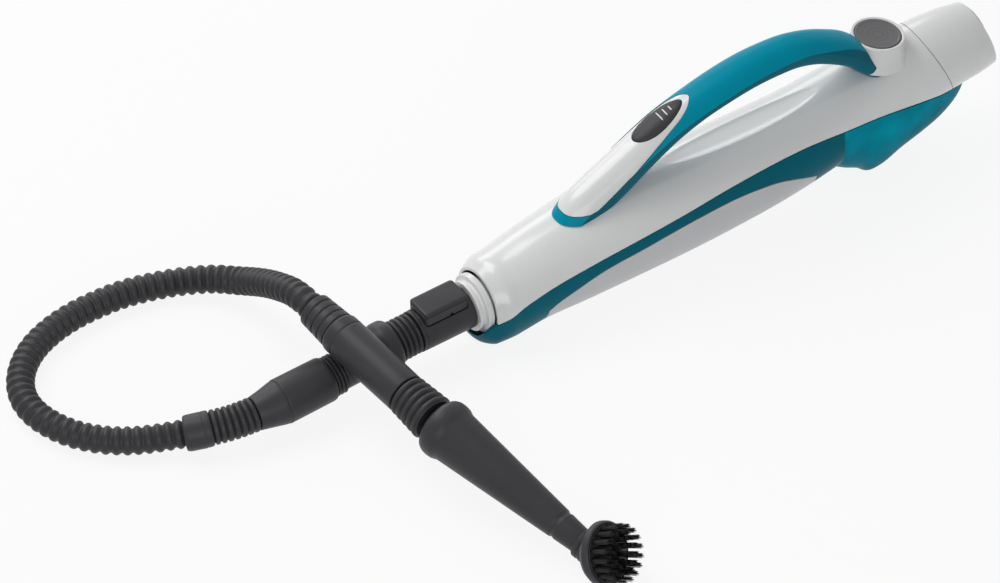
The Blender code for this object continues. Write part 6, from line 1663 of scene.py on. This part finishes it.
# %% [markdown]
# The strands stand in a round pad, in rings of tufts. The places of the tufts are a mesh
# without faces, and each place carries its own direction for the tree to read.

# %% Pad and tufts
TUFT_RADIUS = 0.0014
TUFT_STRANDS = 44
STRAND_THICKNESS = 0.00017
TUFT_RINGS = ((0.0, 1), (0.25, 5), (0.47, 10), (0.69, 15), (0.905, 18))

pad = turned("bristle_pad", [(-BRISTLE_PAD_THICKNESS, 0), (-BRISTLE_PAD_THICKNESS, BRISTLE_PAD_RADIUS),
                             (0, BRISTLE_PAD_RADIUS), (0, 0)], brush_seat(), size=0.0004)
dressed_as(pad, "bristles", "brush", BLACK)

places, facings = [], []
seat = brush_seat()
for share, count in TUFT_RINGS:
    for index in range(count):
        angle = 2 * math.pi * (index + 0.5 * (count % 2)) / count
        out = Vector((math.cos(angle), math.sin(angle), 0)) * share * BRISTLE_PAD_RADIUS
        places.append(seat @ (out - Vector((0, 0, BRISTLE_PAD_THICKNESS / 2))))
        facings.append((seat.to_3x3() @ (out * BRISTLE_SPLAY + Vector((0, 0, BRISTLE_LENGTH)))).normalized())
data = bpy.data.meshes.new("tuft_places")
data.from_pydata(places, [], [])
data.attributes.new("facing", "FLOAT_VECTOR", "POINT").data.foreach_set(
    "vector", [value for facing in facings for value in facing])
start = bpy.data.objects.new("tuft_places", data)
bpy.context.collection.objects.link(start)
values = {"Strands": TUFT_STRANDS, "Bundle Radius": TUFT_RADIUS, "Seed": 5, "Thickness": STRAND_THICKNESS,
          "Length": BRISTLE_LENGTH + BRISTLE_PAD_THICKNESS / 2, "Finish": NYLON}
tufts = baked("bristle_tufts", start, tuft_tree, {tuft_sockets[label]: value for label, value in values.items()})
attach(tufts, "brush")
print("tufts:", len(places), "faces:", len(tufts.data.polygons))

# %% [markdown]
# ## What is inside
#
# The boiler, the pump, the board, the tubes and the release lever already have their real
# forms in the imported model, so they stay. Each gets the finish of what it is made of: cast
# metal, rubber, brass, spring steel, or a green board.

# %% Finishes for the pieces that stay
def coated(node, material):
    """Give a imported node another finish, in its object's own slots."""
    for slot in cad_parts[node].material_slots:
        slot.link = "OBJECT"
        slot.material = material


for node, material in (
        ("pole_socket", PALE), ("bay_plate", PALE), ("tank_cap", DARK), ("tank_valve", SEAL),
        ("tank_coupling", DARK), ("boiler", CAST), ("thermostat", STEEL), ("thermal_fuse", BRASS),
        ("water_pump", BLACK), ("pump_mount_front", SEAL), ("pump_mount_rear", SEAL),
        ("control_board", BOARD), ("steam_pipe", BRASS), ("pressure_tube", SILICONE),
        ("water_tube", SILICONE), ("release_lever", PALE), ("lever_pin", STEEL),
        ("button_spring", STEEL), ("steam_switch", BLACK)):
    coated(node, material)
print("all nodes:", len(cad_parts))

# %% [markdown]
# ## The hose's ends
#
# The hose leaves the cuff and comes back to the object at the handpiece's ferrule.

# %% [markdown]
# ## Floor and light
#
# A plain pale floor and soft studio light. The background is white because the floor and
# the world show white to the camera, and not because more light falls on the object: the
# part of the floor that answers to light stays in the mix, and keeps the soft shadow.

# %% Floor and world
def shown_white(tree, lit, amount):
    """Shader that adds white for camera, glossy and transmitted rays, and else keeps what is lit."""
    path = put(tree, "ShaderNodeLightPath").outputs
    seen = figure(tree, "MAXIMUM", path["Is Camera Ray"], path["Is Glossy Ray"])
    seen = figure(tree, "MAXIMUM", seen, path["Is Transmission Ray"])
    white = put(tree, "ShaderNodeEmission", {"Color": (1, 1, 1, 1), "Strength": 1.0})
    mix = put(tree, "ShaderNodeMixShader", {0: figure(tree, "MULTIPLY", seen, amount), 1: lit, 2: white})
    return mix.outputs[0]


floor_work = bmesh.new()
bmesh.ops.create_circle(floor_work, cap_ends=True, segments=96, radius=6.0)
floor = finish("floor", floor_work)
floor_finish = bpy.data.materials.new("pale_floor")
floor_finish.use_nodes = True
floor_tree = floor_finish.node_tree
floor_shader = floor_tree.nodes["Principled BSDF"]
floor_shader.inputs["Base Color"].default_value = (0.88, 0.88, 0.88, 1)
floor_shader.inputs["Roughness"].default_value = 0.7
floor_shader.inputs["Specular IOR Level"].default_value = 0.2
floor_out = floor_tree.nodes["Material Output"]
floor_tree.links.new(shown_white(floor_tree, floor_shader.outputs[0], 0.88), floor_out.inputs["Surface"])
floor.data.materials.append(floor_finish)

world = bpy.data.worlds.new("studio")
bpy.context.scene.world = world
bpy.context.scene.view_settings.view_transform = "Standard"
world.use_nodes = True
world_tree = world.node_tree
sky = world_tree.nodes["Background"]
sky.inputs["Color"].default_value = (0.95, 0.97, 1.0, 1)
sky.inputs["Strength"].default_value = 0.30
world_out = world_tree.nodes["World Output"]
world_tree.links.new(shown_white(world_tree, sky.outputs[0], 1.0), world_out.inputs["Surface"])
print("floor and world made")

# %% [markdown]
# Three soft boxes: a key high above, a weak fill on the side of the camera, and a long
# one behind that draws the highlights along the top edges. Each one's power follows from
# the light that it should give at the object, because a box of power P at a distance d
# gives P / (pi d) ** 2 there. So a box can be moved and is still as bright.

# %% Soft boxes
def soft_box(name, spot, width, depth, share):
    """Area lamp aimed at the middle of the object that gives a share of plain white light there."""
    data = bpy.data.lights.new(name, "AREA")
    data.shape = "RECTANGLE"
    data.size, data.size_y = width, depth
    away = Vector(spot) - VIEW_MIDDLE
    data.energy = share * math.pi ** 2 * away.length_squared
    lamp = bpy.data.objects.new(name, data)
    lamp.location = spot
    lamp.rotation_euler = away.to_track_quat("Z", "Y").to_euler()
    bpy.context.collection.objects.link(lamp)
    print(name, round(data.energy, 1), "W")


soft_box("key", (-0.4, 0.9, 1.5), 1.1, 1.1, 0.49)
soft_box("fill", (-0.9, -1.5, 0.7), 1.4, 0.8, 0.25)
soft_box("rim", (0.4, 1.7, 0.8), 1.6, 0.6, 0.22)
